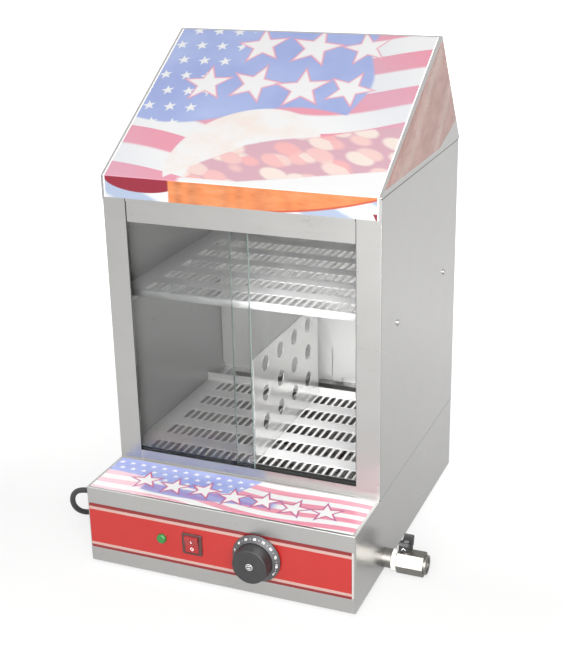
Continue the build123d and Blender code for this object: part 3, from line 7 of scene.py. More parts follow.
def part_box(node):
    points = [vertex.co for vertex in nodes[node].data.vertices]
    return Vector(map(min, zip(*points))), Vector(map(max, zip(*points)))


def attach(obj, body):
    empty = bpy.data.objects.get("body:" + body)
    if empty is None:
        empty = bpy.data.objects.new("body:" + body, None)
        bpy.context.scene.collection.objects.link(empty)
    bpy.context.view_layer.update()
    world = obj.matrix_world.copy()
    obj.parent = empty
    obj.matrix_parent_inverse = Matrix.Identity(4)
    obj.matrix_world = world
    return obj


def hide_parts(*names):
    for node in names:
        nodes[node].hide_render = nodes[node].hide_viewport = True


# Counter-top hot dog steamer: finishes, printed films, punched shelves and fittings around the
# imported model. Metres, +Z up, the controls face -Y.

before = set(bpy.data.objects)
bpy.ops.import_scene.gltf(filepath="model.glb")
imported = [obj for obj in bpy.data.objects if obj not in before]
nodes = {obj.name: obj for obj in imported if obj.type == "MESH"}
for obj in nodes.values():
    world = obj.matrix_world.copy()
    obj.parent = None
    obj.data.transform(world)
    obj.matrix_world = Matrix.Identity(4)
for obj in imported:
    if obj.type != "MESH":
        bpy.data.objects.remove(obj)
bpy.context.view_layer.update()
scene = bpy.context.scene
rootBody = "cabinet"
fullTurn = 2 * pi

# middles of the controls on the front panel
panel = {"frontY": -0.205, "middleZ": 0.0505, "lampX": -0.073, "rockerX": -0.032, "knobX": 0.0529}


def placed(name, data):
    made = bpy.data.objects.new(name, data)
    scene.collection.objects.link(made)
    return made


def standing(place, right, up, off):
    # matrix with X, Y and Z along three directions
    return Matrix.Translation(place) @ Matrix((right, up, off)).transposed().to_4x4()


# ---- camera ----
cameraFit = {
    "azimuth": 22.81,
    "elevation": 20.67,
    "roll": -1.28,
    "distance": 1.5426,
    "target": (0.01802, -0.030, 0.2763),
    "lens": 68.72,
}


def makeCamera():
    fit = cameraFit
    azimuth, elevation, roll = (radians(fit[key]) for key in ("azimuth", "elevation", "roll"))
    back = Vector((
        sin(azimuth) * cos(elevation),
        -cos(azimuth) * cos(elevation),
        sin(elevation),
    ))
    level = Vector((cos(azimuth), sin(azimuth), 0))
    rise = level.cross(-back)
    right = level * cos(roll) + rise * sin(roll)
    up = rise * cos(roll) - level * sin(roll)
    lens = bpy.data.cameras.new("photoCamera")
    lens.lens = fit["lens"]
    camera = placed("photoCamera", lens)
    camera.matrix_world = standing(Vector(fit["target"]) + back * fit["distance"], right, up, back)
    scene.camera = camera


makeCamera()
print("camera ready")


# ---- node writing ----
def addNode(tree, kind, settings, values):
    # the settings come first, then a value or a link for each socket
    made = tree.nodes.new(kind)
    for key, value in (settings or {}).items():
        setattr(made, key, value)
    for key, value in (values or {}).items():
        socket = made.inputs[key]
        source = value.socket if isinstance(value, Val) else value
        if isinstance(source, bpy.types.NodeSocket):
            tree.links.new(source, socket)
        elif socket.type == "RGBA":
            socket.default_value = (*source, 1)
        else:
            socket.default_value = source
    return made


def mathStep(operation):
    return lambda self, *others: self.sum(operation, *others)


class Val:
    # a socket that takes part in sums
    def __init__(self, paint, socket):
        self.paint = paint
        self.socket = socket

    def sum(self, operation, *others):
        return self.paint.number(operation, self, *others)

    def __rsub__(self, other):
        return self.paint.number("SUBTRACT", other, self)

    __add__ = __radd__ = mathStep("ADD")
    __sub__ = mathStep("SUBTRACT")
    __mul__ = __rmul__ = mathStep("MULTIPLY")
    __truediv__ = mathStep("DIVIDE")
    __gt__ = mathStep("GREATER_THAN")
    __lt__ = mathStep("LESS_THAN")
    __abs__ = mathStep("ABSOLUTE")
    sine = mathStep("SINE")

    def swing(self):
        # a sine between 0 and 1
        return self.sine() * 0.5 + 0.5

    def wrapped(self, span):
        return self.sum("WRAP", span, 0)

    def clamped(self):
        return self.sum("MINIMUM", 1).sum("MAXIMUM", 0)

    def above(self, edge, soft):
        # 0 below the edge and 1 above it, with a soft step
        return ((self - edge) / soft + 0.5).clamped()

    def below(self, edge, soft):
        return 1 - self.above(edge, soft)

    def span(self, other):
        # distance from the origin of this and the other
        return (self * self + other * other).sum("SQRT")


class Paint:
    # one node tree, of a material unless it is given, with inks that go by name
    def __init__(self, name, inks=None, tree=None):
        if tree is None:
            self.material = bpy.data.materials.new(name)
            self.material.use_nodes = True
            tree = self.material.node_tree
        self.tree = tree
        self.tree.nodes.clear()
        self.inks = inks

    def node(self, kind, settings=None, values=None, output=0):
        made = addNode(self.tree, "ShaderNode" + kind, settings, values)
        return Val(self, made.outputs[output]) if made.outputs else None

    def number(self, operation, *terms):
        return self.node("Math", {"operation": operation}, dict(enumerate(terms)))

    def place(self):
        return self.node("TexCoord", output="Object")

    def axes(self, vector=None):
        vector = vector or self.place()
        return [self.node("SeparateXYZ", None, {0: vector}, axis) for axis in range(3)]

    def scaled(self, x, y, z, vector=None):
        values = {"Vector": vector or self.place(), "Scale": (x, y, z)}
        return self.node("Mapping", {"vector_type": "POINT"}, values)

    def noise(self, scale, detail=2.0, rough=0.5, vector=None):
        vector = vector or self.place()
        values = {"Vector": vector, "Scale": scale, "Detail": detail, "Roughness": rough}
        return self.node("TexNoise", None, values)

    def mix(self, factor, *pair):
        first, second = [self.inks[ink] if isinstance(ink, str) else ink for ink in pair]
        return self.node("Mix", {"data_type": "RGBA"}, {0: factor, 6: first, 7: second}, 2)

    def lay(self, mask, ink):
        # one more layer over the colour so far
        self.colour = self.mix(mask, self.colour, ink)

    def bump(self, height, strength, distance):
        values = {"Height": height, "Strength": strength, "Distance": distance}
        return self.node("Bump", None, values)

    def finish(self, **values):
        named = {key.replace("_", " "): value for key, value in values.items()}
        shader = self.node("BsdfPrincipled", None, named)
        self.node("OutputMaterial", None, {"Surface": shader})
        return self.material


def dimmed(colour, share):
    return tuple(value * share for value in colour)


# ---- metals ----
steelGrain = {
    "along": 9.0,  # per metre
    "across": 1500.0,
    "contrast": 0.035,
}
seamPlaces = {
    "width": 0.0006,
    "sideX": 0.1738,  # the side walls lie past it
    "stepY": -0.1175,  # the tower stands on the base behind it
    "frontY": -0.1152,  # the stiles and rails lie before it
    "levels": ((0.1022, 1.0), (0.4716, 1.2)),  # height of a joint and its share of the width
    "headerX": 0.1446,
    "headerY": -0.1200,
    "sillTop": 0.1160,
    "rivetsY": (-0.0535, 0.1462),
    "rivetZ": 0.307,
    # the painted shadow under each side rivet: its radius, and how far below the rivet it lies
    "rivetShadow": 0.0042,
    "rivetShadowDrop": 0.0012,
}
chamber = {"halfX": 0.17405, "frontY": -0.1140, "backY": 0.2035, "floorZ": 0.1035, "roofZ": 0.4705}


def jointShadeMask(paint, place):
    # painted shade in the joints where sheets meet: tower on base, marquee on tower, header between
    # stiles; and a painted shadow just under each side rivet
    seam = seamPlaces
    x, y, z = paint.axes(place)
    side = abs(x).above(seam["sideX"], 0.0002)
    levels, rivets = 0, 0
    for level, share in seam["levels"]:
        levels = levels + (abs(z - level) < seam["width"] * share)
    # painted shadow just under each side rivet
    for spot in seam["rivetsY"]:
        rivetShadow = (y - spot).span(z - seam["rivetZ"] + seam["rivetShadowDrop"])
        rivets = rivets + rivetShadow.below(seam["rivetShadow"], 0.0012)
    onTower = y.above(seam["stepY"], 0.0005)
    front = y.below(seam["frontY"], 0.0003)
    ends = (abs(abs(x) - seam["headerX"]) < seam["width"]) * (z > seam["sillTop"])
    ends = ends * (y > seam["headerY"])
    return (side * onTower * levels + side * rivets * 0.6 + front * ends).clamped()


def chamberMask(paint, place):
    # 1 on the faces that look into the heated chamber
    x, y, z = paint.axes(place)
    level = (z > chamber["floorZ"]) * (z < chamber["roofZ"])
    deep = (y > chamber["frontY"]) * (y < chamber["backY"])
    return (abs(x) < chamber["halfX"]) * deep * level


def brushedSteel(name, base, roughness, upright=False, metallic=1.0, grainDepth=0.00001,
                 paintedLightMarks=False):
    paint = Paint(name)
    place = paint.place()
    normal = paint.node("NewGeometry", output="Normal")
    onSide = abs(paint.axes(normal)[0]) > 0.5
    slow, fine = steelGrain["along"], steelGrain["across"]
    ways = [(fine, fine, slow)] * 2 if upright else [(slow, fine, fine), (fine, slow, fine)]
    flatGrain, sideGrain = [
        paint.noise(1.0, 3.0, vector=paint.scaled(*way, place)) for way in ways
    ]
    grain = paint.node("Mix", {"data_type": "FLOAT"}, {0: onSide, 2: flatGrain, 3: sideGrain})
    cloud = paint.noise(5.0, 3.0, vector=place)
    smudge = paint.noise(26.0, 4.0, 0.6, place)
    contrast = steelGrain["contrast"]
    colour = paint.mix(grain, dimmed(base, 1 - contrast), dimmed(base, 1 + contrast))
    colour = paint.mix(cloud * 0.3, colour, dimmed(base, 0.90))
    if paintedLightMarks:
        # the cabinet steel that faces into the chamber is paler and mostly diffuse: painted light
        # for the bright reflections inside
        inside = chamberMask(paint, place)
        colour = paint.mix(inside, colour, chamberLitTone)
        # painted shade in the joints and under the side rivets
        colour = paint.mix(jointShadeMask(paint, place) * 0.85, colour, (0.03, 0.03, 0.03))
        metallic = 1 - inside * 0.7
    return paint.finish(
        Base_Color=colour,
        Metallic=metallic,
        Roughness=roughness + (grain - 0.5) * 0.08 + (smudge - 0.5) * 0.10,
        Normal=paint.bump(grain, 0.14, grainDepth),
    )


def plainMetal(name, colour, roughness, speckle=900.0, depth=0.00003):
    paint = Paint(name)
    worn = paint.noise(60.0, 3.0, 0.6)
    return paint.finish(
        Base_Color=paint.mix(worn * 0.5, colour, dimmed(colour, 0.72)),
        Metallic=1.0,
        Roughness=roughness + (worn - 0.5) * 0.2,
        Normal=paint.bump(paint.noise(speckle, 3.0), 0.3, depth),
    )


# paler tone of the steel inside the chamber: painted light
chamberLitTone = (0.88, 0.88, 0.87)
shallow = 0.000004
cabinetSteel = brushedSteel("cabinetSteel", (0.50, 0.495, 0.485), 0.30, False, 1.0, shallow, True)
# the liner, tray stop, roof, shelf supports, divider, shelf and tray are paler and less metallic
# than the cabinet steel: painted light for the bright reflections inside the chamber
linerSteel = brushedSteel("linerSteel", (0.86, 0.86, 0.85), 0.32, upright=True, metallic=0.2)
chamberSteel = brushedSteel("chamberSteel", chamberLitTone, 0.28, metallic=0.3)
tankSteel = brushedSteel("tankSteel", (0.50, 0.495, 0.49), 0.32, metallic=0.8)
mirrorSteel = brushedSteel("mirrorSteel", (0.84, 0.84, 0.83), 0.16, False, 0.65, shallow)
punchedSteel = brushedSteel("punchedSteel", (0.96, 0.96, 0.95), 0.30, metallic=0.1)
plainMetals = {  # colour, roughness and grain
    "boltSteel": ((0.52, 0.51, 0.50), 0.28),
    "nickelPlate": ((0.27, 0.26, 0.24), 0.40),
    "turnedBrass": ((0.72, 0.52, 0.24), 0.30),
    "heatedSteel": ((0.25, 0.22, 0.20), 0.45, 300.0),
}


# ---- plastics, rubber and glass ----
def moulded(name, colour, roughness, lighter=1.5, grain=1200.0, depth=0.00005, coat=0.0):
    paint = Paint(name)
    dust = paint.noise(90.0, 4.0, 0.65)
    pale = tuple(min(value * lighter + 0.004, 1) for value in colour)
    return paint.finish(
        Base_Color=paint.mix(dust.above(0.5, 0.5) * 0.5, colour, pale),
        Roughness=roughness + (dust - 0.5) * 0.16,
        Coat_Weight=coat,
        Normal=paint.bump(paint.noise(grain), 0.35, depth),
    )


mouldings = {  # colour, roughness, how much paler the dust is, grain and its depth, coat
    "knobBlack": ((0.016, 0.016, 0.017), 0.45),
    "dialBlack": ((0.045, 0.045, 0.048), 0.5),
    "trackBlack": ((0.022, 0.022, 0.022), 0.5),
    "bezelDark": ((0.050, 0.020, 0.018), 0.4),
    "handleBlack": ((0.020, 0.020, 0.021), 0.45),
    "sealWhite": ((0.78, 0.77, 0.74), 0.45, 1.1),
    "housingCream": ((0.62, 0.57, 0.46), 0.5, 1.15),
    "footRubber": ((0.020, 0.020, 0.020), 0.75, 1.5, 600.0, 0.0001),
    "cordRubber": ((0.018, 0.018, 0.019), 0.5, 1.5, 700.0, 0.00006),
    "wireJacket": ((0.30, 0.06, 0.03), 0.35, 1.5, 1200.0, 0.00005, 0.2),
    # painted shade for the cross recesses of the screw heads
    "recessShade": ((0.012, 0.012, 0.012), 0.6),
    "printWhite": ((0.80, 0.80, 0.79), 0.5, 1.05),
}
plain = {name: plainMetal(name, *values) for name, values in plainMetals.items()}
plain.update({name: moulded(name, *values) for name, values in mouldings.items()})


def rockerPlastic():
    paint = Paint("rockerRed")
    haze = paint.noise(120.0, 3.0)
    return paint.finish(
        # a dark red, made darker still for the shade the rocker sits in: partly painted shade
        Base_Color=paint.mix(haze, (0.19, 0.006, 0.008), (0.28, 0.015, 0.015)),
        Roughness=0.22 + haze * 0.1,
        Coat_Weight=0.3,
        Normal=paint.bump(paint.noise(500.0), 0.15, 0.00004),
    )


def lampPlastic():
    # prismatic green lens: rings and spokes pressed into its back
    ringsPerMetre, spokes = 5500.0, 12.0
    paint = Paint("lampGreen")
    x, y, z = paint.axes()
    across, high = x - panel["lampX"], z - panel["middleZ"]
    spoke = (high.sum("ARCTAN2", across) * spokes).sine()
    facets = (across.span(high) * ringsPerMetre).sine() * spoke
    glow = paint.noise(300.0)
    # the facets are also painted lighter and darker in the colour: painted glints and shade on the
    # facets; the noise term is a random tone
    light = glow * 0.5 + facets * 0.15 + 0.2
    return paint.finish(
        Base_Color=paint.mix(light, (0.004, 0.07, 0.012), (0.025, 0.22, 0.04)),
        Roughness=0.16 + glow * 0.08,
        Coat_Weight=0.4,
        Normal=paint.bump(facets, 0.4, 0.0003),
    )


def paneGlass(name, tint):
    paint = Paint(name)
    smear = paint.noise(9.0, 4.0, 0.6, paint.scaled(1, 1, 3))
    return paint.finish(
        Base_Color=tint,
        Transmission_Weight=1.0,
        IOR=1.46,
        Roughness=smear.above(0.62, 0.3) * 0.03,
    )


def slottedHead():
    # plated screw head: a dark ring painted round the slotted middle, and the slot painted dark:
    # painted shade in the slot
    ringRadius, ringHalf, slotHalf = 0.0030, 0.00035, 0.0006
    paint = Paint("slottedHead")
    x, y, z = paint.axes()
    across, high = x - panel["knobX"], z - panel["middleZ"]
    radius = across.span(high)
    ring = abs(radius - ringRadius).below(ringHalf, 0.0002)
    slotShade = abs(high).below(slotHalf, 0.0002) * radius.below(ringRadius, 0.0001)
    turned = (radius * 9000.0).sine()
    return paint.finish(
        Base_Color=paint.mix((ring + slotShade).clamped(), (0.62, 0.62, 0.60), (0.02, 0.02, 0.02)),
        Metallic=0.7,
        Roughness=0.35 + turned * 0.05,
        Normal=paint.bump(turned, 0.1, 0.00002),
    )


def edgeGlass():
    # ground edge of a pane
    paint = Paint("groundEdge")
    grind = paint.noise(1.0, 3.0, vector=paint.scaled(300, 300, 30))
    return paint.finish(
        Base_Color=paint.mix(grind, (0.30, 0.42, 0.38), (0.52, 0.64, 0.60)),
        Roughness=0.35 + grind * 0.2,
        Normal=paint.bump(grind, 0.2, 0.0001),
    )


rockerRed = rockerPlastic()
screwFace = slottedHead()
lampGreen = lampPlastic()
doorGlass = paneGlass("doorGlass", (0.85, 0.855, 0.852))
groundEdge = edgeGlass()
print("plain finishes ready")


# ---- printed films ----
filmInk = {
    "blue": (0.081, 0.12, 0.31),
    "paleBlue": (0.21, 0.26, 0.42),
    "white": (0.43, 0.43, 0.43),
    "pink": (0.4, 0.12, 0.17),
    "palePink": (0.43, 0.26, 0.3),
    "cream": (0.44, 0.37, 0.33),
    "orange": (0.40, 0.105, 0.024),
    "burntOrange": (0.22, 0.055, 0.02),
    "paleOrange": (0.42, 0.17, 0.07),
    "rust": (0.30, 0.045, 0.02),
    "deepRed": (0.15, 0.006, 0.018),
    "salmon": (0.44, 0.2, 0.2),
    "rose": (0.32, 0.17, 0.21),
    "greyBlue": (0.22, 0.26, 0.34),
    "bareEdge": (0.6, 0.6, 0.59),
}
# the ledge lies flatter to the light, so its inks are stronger
ledgeInk = {name: tuple(min(value * 1.6, 1) for value in ink) for name, ink in filmInk.items()}
ledgeInk.update(fieldBlue=(0.10, 0.13, 0.50), tailBlue=(0.13, 0.14, 0.46),
                outline=(0.13, 0.08, 0.30), innerLine=(0.55, 0.04, 0.12))


def filmFinish(paint, roughness, spread, coat, strength, wear=None, peel=None):
    # printed vinyl with dust and a little orange peel
    wear = wear or paint.noise(30.0, 4.0, 0.6)
    peel = peel or paint.noise(160.0)
    return paint.finish(
        Base_Color=paint.colour,
        Roughness=roughness + wear * spread,
        Coat_Weight=coat,
        Normal=paint.bump(peel, strength, 0.0002),
    )


def starMask(x, y, size, soft):
    # 1 inside a five-pointed star of that outer radius around the origin
    wedge = fullTurn / 5
    radius = x.span(y)
    folded = abs(x.sum("ARCTAN2", y).sum("WRAP", wedge / 2, -wedge / 2))
    valley = Vector((cos(wedge / 2), sin(wedge / 2))) * 0.40
    edge = valley - Vector((1.0, 0.0))
    outward = Vector((edge.y, -edge.x)).normalized()
    reach = radius * folded.sum("COSINE") * outward.x + radius * folded.sine() * outward.y
    return (reach / size - outward.x).below(0, soft)


def leaned(x, y, lean):
    return (x * cos(lean) + y * sin(lean), y * cos(lean) - x * sin(lean))


def starField(u, v, pitch, size, lean=0.3):
    # staggered rows of stars on a field measured in metres
    shift = (v / pitch).sum("FLOOR").sum("MODULO", 2) * 0.5 * pitch
    local = leaned((u + shift).wrapped(pitch) - pitch / 2, v.wrapped(pitch) - pitch / 2, lean)
    return starMask(*local, size, 0.06)


def outlinedStar(paint, u, v, star, inks):
    centreU, centreV, size, lean = star
    for grow, ink in inks:
        mask = starMask(*leaned(u - centreU, v - centreV, lean), size * grow, 0.05)
        paint.lay(mask, ink)


def waving(x, y):
    # stripes of cloth that lies in slow folds
    return (x * 17.0 + y * 6.0).sine() * 0.012 + (x * 9.0 - y * 13.0 + 1.3).sine() * 0.009


marqueeArt = {
    "lipY": -0.1173,
    "lipTop": 0.4732,
    "ridge": (0.113, 0.616),  # its Y and Z
    "stripe": 0.054,
    "stripeShift": 0.002,
    "stripeBow": 0.58,
    "fieldLow": 0.116,  # from the fold, up the slope
    "fieldRight": 0.104,
    "starPitch": 0.0285,
    "starSize": 0.0088,
    "starsRight": -0.090,
    "stars": [  # middle across and up the slope, radius and lean
        (-0.048, 0.240, 0.029, 0.20), (0.022, 0.240, 0.031, -0.12), (0.088, 0.243, 0.027, 0.30),
        (-0.098, 0.166, 0.028, 0.12), (-0.036, 0.170, 0.030, -0.20), (0.028, 0.166, 0.031, 0.15),
        (0.087, 0.168, 0.027, -0.30),
    ],
    "swell": (-0.008, 0.045, 0.092, 0.083),  # middle and half sizes, across and up
    "patchLeft": -0.068,
    "edgeLeft": -0.074,
    "edgeHigh": 0.006,
    "scoop": (-0.120, 0.052, 0.0175),  # middle, half width and depth
    "bandLeft": -0.086,
    "bandLength": 0.262,
    "bandDepth": 0.031,
    "bandTaper": 0.029,
    "hem": 0.0022,
    "borderX": 0.1698,
}


def flagLayer(paint, x, run):
    # waving stripes, a blue field over the upper left and middle, its lower edge in a wave
    art = marqueeArt
    bowed = run + waving(x, run) - x * x * art["stripeBow"] + art["stripeShift"]
    stripes = (bowed / art["stripe"]).wrapped(1)
    paint.colour = paint.mix(stripes.above(0.5, 0.06), "white", "pink")
    shade = (x * 30.0 + run * 24.0).swing()
    paint.lay(shade * 0.22, "greyBlue")
    lower = art["fieldLow"] + (x * 21.0 + 0.9).sine() * 0.015 + x * 0.05
    right = art["fieldRight"] + (run * 44.0).sine() * 0.009
    field = run.above(lower, 0.003) * x.below(right, 0.004)
    blue = paint.mix(paint.noise(14.0, 3.0), "blue", "paleBlue")
    starsEnd = art["starsRight"] + (run - 0.15) * 0.2
    stars = starField(x + 0.004, run + 0.006, art["starPitch"], art["starSize"])
    stars = stars * x.below(starsEnd, 0.002)
    paint.lay(field, paint.mix(stars, blue, "white"))


def swellLayer(paint, x, run):
    # a pale swell, a band of warm rounded patches under it and a white edge above the lip
    art = marqueeArt
    middleX, middleRun, halfX, halfRun = art["swell"]
    swellX = (x - middleX) / halfX
    swellRun = (run - middleRun - x * 0.12) / halfRun
    swell = (swellX * swellX + swellRun * swellRun).below(1, 0.05)
    under = (x * 0.75 + 0.0735).sum("MINIMUM", x * 0.25 + 0.0685) + (x * 60.0).sine() * 0.0015
    low = art["edgeHigh"] + x.sum("MAXIMUM", 0) * 0.2
    glow = paint.noise(26.0, 3.0, vector=paint.scaled(1, 1.4, 1.4))
    pale = paint.mix(glow.above(0.56, 0.3), "white", "cream")
    paint.lay(swell * run.above(under, 0.003), pale)
    spots = paint.node("CombineXYZ", None, {0: x * 34.0 + run * 26.0, 1: run * 52.0, 2: 0.0})
    cells = {"feature": "SMOOTH_F1", "distance": "EUCLIDEAN"}
    values = {"Vector": spots, "Scale": 1.0}
    near = paint.node("TexVoronoi", cells, {**values, "Smoothness": 0.15})
    pick = paint.node("TexVoronoi", {"feature": "F1"}, values, 1)
    pickRed = paint.node("SeparateColor", None, {0: pick}, 0)
    patch = paint.mix(pickRed.above(0.5, 0.7), "salmon", "cream")
    patch = paint.mix(near.above(0.56, 0.14), patch, "rose")
    filling = run.above(low, 0.002) * run.below(under, 0.003) * x.above(art["patchLeft"], 0.006)
    paint.lay(filling, patch)
    edge = run.below(low, 0.002) * x.above(art["edgeLeft"], 0.006)
    paint.lay(edge, "white")


def lipLayer(paint, x, z):
    # a dark scoop on the left, an orange band and a red corner over grey-blue with white folds
    art = marqueeArt
    down = art["lipTop"] - z
    folded = (x * 52.0 + z * 110.0).swing().above(0.5, 0.3)
    lip = paint.mix(folded, "greyBlue", "white")
    middle, half, depth = art["scoop"]
    scoopX, scoopDown = (x - middle) / half, down / depth
    scoop = (scoopX * scoopX + scoopDown * scoopDown).below(1, 0.08)
    lip = paint.mix(scoop, lip, "deepRed")
    along = (x - art["bandLeft"]) / art["bandLength"]  # 0 at the left end of the band
    taper = along.clamped()
    bandLow = art["bandDepth"] - taper * taper * taper * art["bandTaper"]
    band = x.above(art["bandLeft"], 0.002) * down.below(bandLow, 0.0012)
    tone = paint.noise(38.0, 4.0, 0.6, paint.scaled(1, 1, 4))
    folds = (x * 230.0 + (x * 90.0).sine() * 1.6).swing()
    deep = paint.mix(folds * (1 - taper), "orange", "burntOrange")
    orange = paint.mix(tone.above(0.5, 0.5), deep, "paleOrange")
    hem = down.above(bandLow - art["hem"], 0.0008) * along.above(0.3, 0.1)
    lip = paint.mix(band, lip, paint.mix(hem, orange, "rust"))
    corner = x.above(0.155 + down * 0.5, 0.001) * down.above(0.019, 0.001)
    return paint.mix(corner, lip, "deepRed")


def marqueePrint():
    art = marqueeArt
    paint = Paint("marqueeFilm", filmInk)
    x, y, z = paint.axes()
    ridgeY, ridgeZ = art["ridge"]
    slope = atan2(ridgeZ - art["lipTop"], ridgeY - art["lipY"])
    run = (y - art["lipY"]) * cos(slope) + (z - art["lipTop"]) * sin(slope)
    flagLayer(paint, x, run)
    swellLayer(paint, x, run)
    inks = ((1.24, "pink"), (1.12, "palePink"), (1.0, "white"))
    for star in art["stars"]:
        outlinedStar(paint, x, run, star, inks)
    paint.lay(0.12, "white")  # light washes the sloping part out
    paint.lay(z < art["lipTop"] - 0.0004, lipLayer(paint, x, z))
    paint.lay(abs(x).above(art["borderX"], 0.0004), "bareEdge")
    return filmFinish(paint, 0.26, 0.12, 0.2, 0.08)


ledgeArt = {
    "stripe": 0.0205,
    "fieldEdge": 0.045,  # from the front edge
    "fieldRight": 0.008,
    "tail": (0.030, 0.010, -0.11, 0.062),  # middle, half width, left and right end
    "starPitch": 0.0135,
    "starSize": 0.0042,
    "count": 7,
    "firstX": -0.112,
    "step": 0.0395,
    "starRow": 0.040,
    "starRadius": 0.0185,
}


def ledgePrint():
    art = ledgeArt
    paint = Paint("ledgeFilm", ledgeInk)
    x, y, z = paint.axes()
    across = y - panel["frontY"]
    fold = waving(x * 1.6, across * 1.6) * 0.45
    stripes = ((across + fold + x * 0.055) / art["stripe"]).wrapped(1)
    red = paint.mix(x.above(-0.05, 0.15), "palePink", "pink")
    paint.colour = paint.mix(stripes.above(0.5, 0.06), "white", red)
    edge = art["fieldEdge"] + (x * 30.0).sine() * 0.004 - (x + 0.10) * 0.02
    right = art["fieldRight"] + (across - 0.05) * 0.5
    field = across.above(edge, 0.002) * x.below(right, 0.003)
    middle, half, start, end = art["tail"]
    tail = abs(across - middle - (x * 24.0).sine() * 0.006).below(half, 0.002)
    tail = tail * x.above(start, 0.004) * x.below(end, 0.01)
    blue = paint.mix(paint.noise(22.0, 3.0), "fieldBlue", "paleBlue")
    stars = starField(x * 0.9, across, art["starPitch"], art["starSize"])
    paint.lay(tail * 0.8, "tailBlue")
    paint.lay(field, paint.mix(stars, blue, "white"))
    inks = ((1.30, "outline"), (1.16, "innerLine"), (0.92, "white"))
    for number in range(art["count"]):
        height = art["starRow"] - 0.0035 * (number % 2)
        lean = 0.25 - 0.17 * (number % 3)
        star = (art["firstX"] + number * art["step"], height, art["starRadius"], lean)
        outlinedStar(paint, x, across, star, inks)
    # a pale wash over the whole ledge print: painted wash-out of light
    paint.lay(0.10, "white")
    return filmFinish(paint, 0.16, 0.10, 0.5, 0.06)


def sidePrint():
    # soft red-brown bands with a mottle
    paint = Paint("sideFilm")
    x, y, z = paint.axes()
    height = z - 0.472
    bend = (y * 16.0 + height * 9.0).sine() * 0.016
    drift = paint.noise(11.0) * 0.05
    bands = ((height * 0.9 - y * 0.8 + bend + drift) / 0.085).wrapped(1)
    mottle = paint.noise(34.0, 4.0, 0.6, paint.scaled(1, 1, 1.6))
    paint.colour = paint.mix(bands.above(0.5, 0.9), (0.36, 0.14, 0.10), (0.46, 0.24, 0.19))
    paint.lay(mottle.above(0.5, 0.25) * 0.7, (0.27, 0.085, 0.06))
    paint.lay(abs(bands - 0.72).below(0.10, 0.12) * 0.45, (0.50, 0.36, 0.31))
    return filmFinish(paint, 0.22, 0.14, 0.4, 0.06, mottle, mottle)


fasciaArt = {
    "red": (0.28, 0.010, 0.008),
    "darkRed": (0.12, 0.005, 0.007),
    "pale": (0.34, 0.23, 0.205),
    "white": (0.36, 0.36, 0.35),
    "worn": (0.38, 0.05, 0.04),
    "bands": ((0.0226, "pale"), (0.0264, "red"), (0.0722, "pale"), (0.0762, "darkRed")),
    "borderX": 0.1708,
    "innerX": 0.1696,
    "soft": 0.0003,
}


def fasciaPrint():
    art = fasciaArt
    soft = art["soft"]
    paint = Paint("fasciaFilm", art)
    x, y, z = paint.axes()
    paint.colour = "darkRed"
    for level, ink in art["bands"]:
        paint.lay(z.above(level, soft), ink)
    redLow, redHigh = art["bands"][1][0], art["bands"][2][0]
    inner = x.above(art["innerX"], soft) * (z > redLow) * (z < redHigh)
    paint.lay(inner * 0.6, "darkRed")
    paint.lay(x.above(art["borderX"], soft), "white")
    wave = paint.noise(18.0, 3.0)
    paint.lay(wave * 0.15, "worn")
    return filmFinish(paint, 0.30, 0.12, 0.25, 0.08, wave, paint.noise(240.0))


finishedNodes = (
    (cabinetSteel, "base_shell floor_plate tower_side_left tower_side_right back_panel"),
    (cabinetSteel, "marquee_body marquee_front lower_rail upper_rail"),
    (linerSteel, "back_liner tray_stop"),
    (chamberSteel, "roof_panel shelf_supports"),
    (tankSteel, "water_tank heater_saddles"),
    (mirrorSteel, "divider"),
    (marqueePrint(), "marquee_print"),
    (ledgePrint(), "ledge_print"),
    (sidePrint(), "marquee_side_prints"),
    (fasciaPrint(), "control_fascia"),
    (doorGlass, "door_front door_rear"),
    (plain["trackBlack"], "lower_track upper_track"),
    (plain["knobBlack"], "knob_cap"),
    (plain["dialBlack"], "knob_dial"),
    (screwFace, "knob_screw"),
    (plain["boltSteel"], "cabinet_screws rivets handle_screw thermostat_shaft"),
    (lampGreen, "lamp_lens"),
    (plain["bezelDark"], "switch_body lamp_body"),
    (rockerRed, "rocker"),
    (plain["housingCream"], "thermostat_body terminal_block"),
    (plain["turnedBrass"], "sensor_bulb heater_bushes heater_nuts"),
    (plain["turnedBrass"], "valve_retainer valve_stem plug_pins"),
    (plain["heatedSteel"], "heater_element"),
    (plain["footRubber"], "feet heater_gaskets cord_gland"),
    (plain["sealWhite"], "sealing_ring valve_seats"),
    (plain["nickelPlate"], "valve_body valve_ball drain_socket"),
    (plain["handleBlack"], "valve_handle"),
    (plain["cordRubber"], "plug"),
    (plain["wireJacket"], "wiring"),
    (punchedSteel, "bun_shelf steam_tray"),
)
print("printed films ready")

for nodeFinish, nodeNames in finishedNodes:
    for nodeName in nodeNames.split():
        nodes[nodeName].data.materials.clear()
        nodes[nodeName].data.materials.append(nodeFinish)


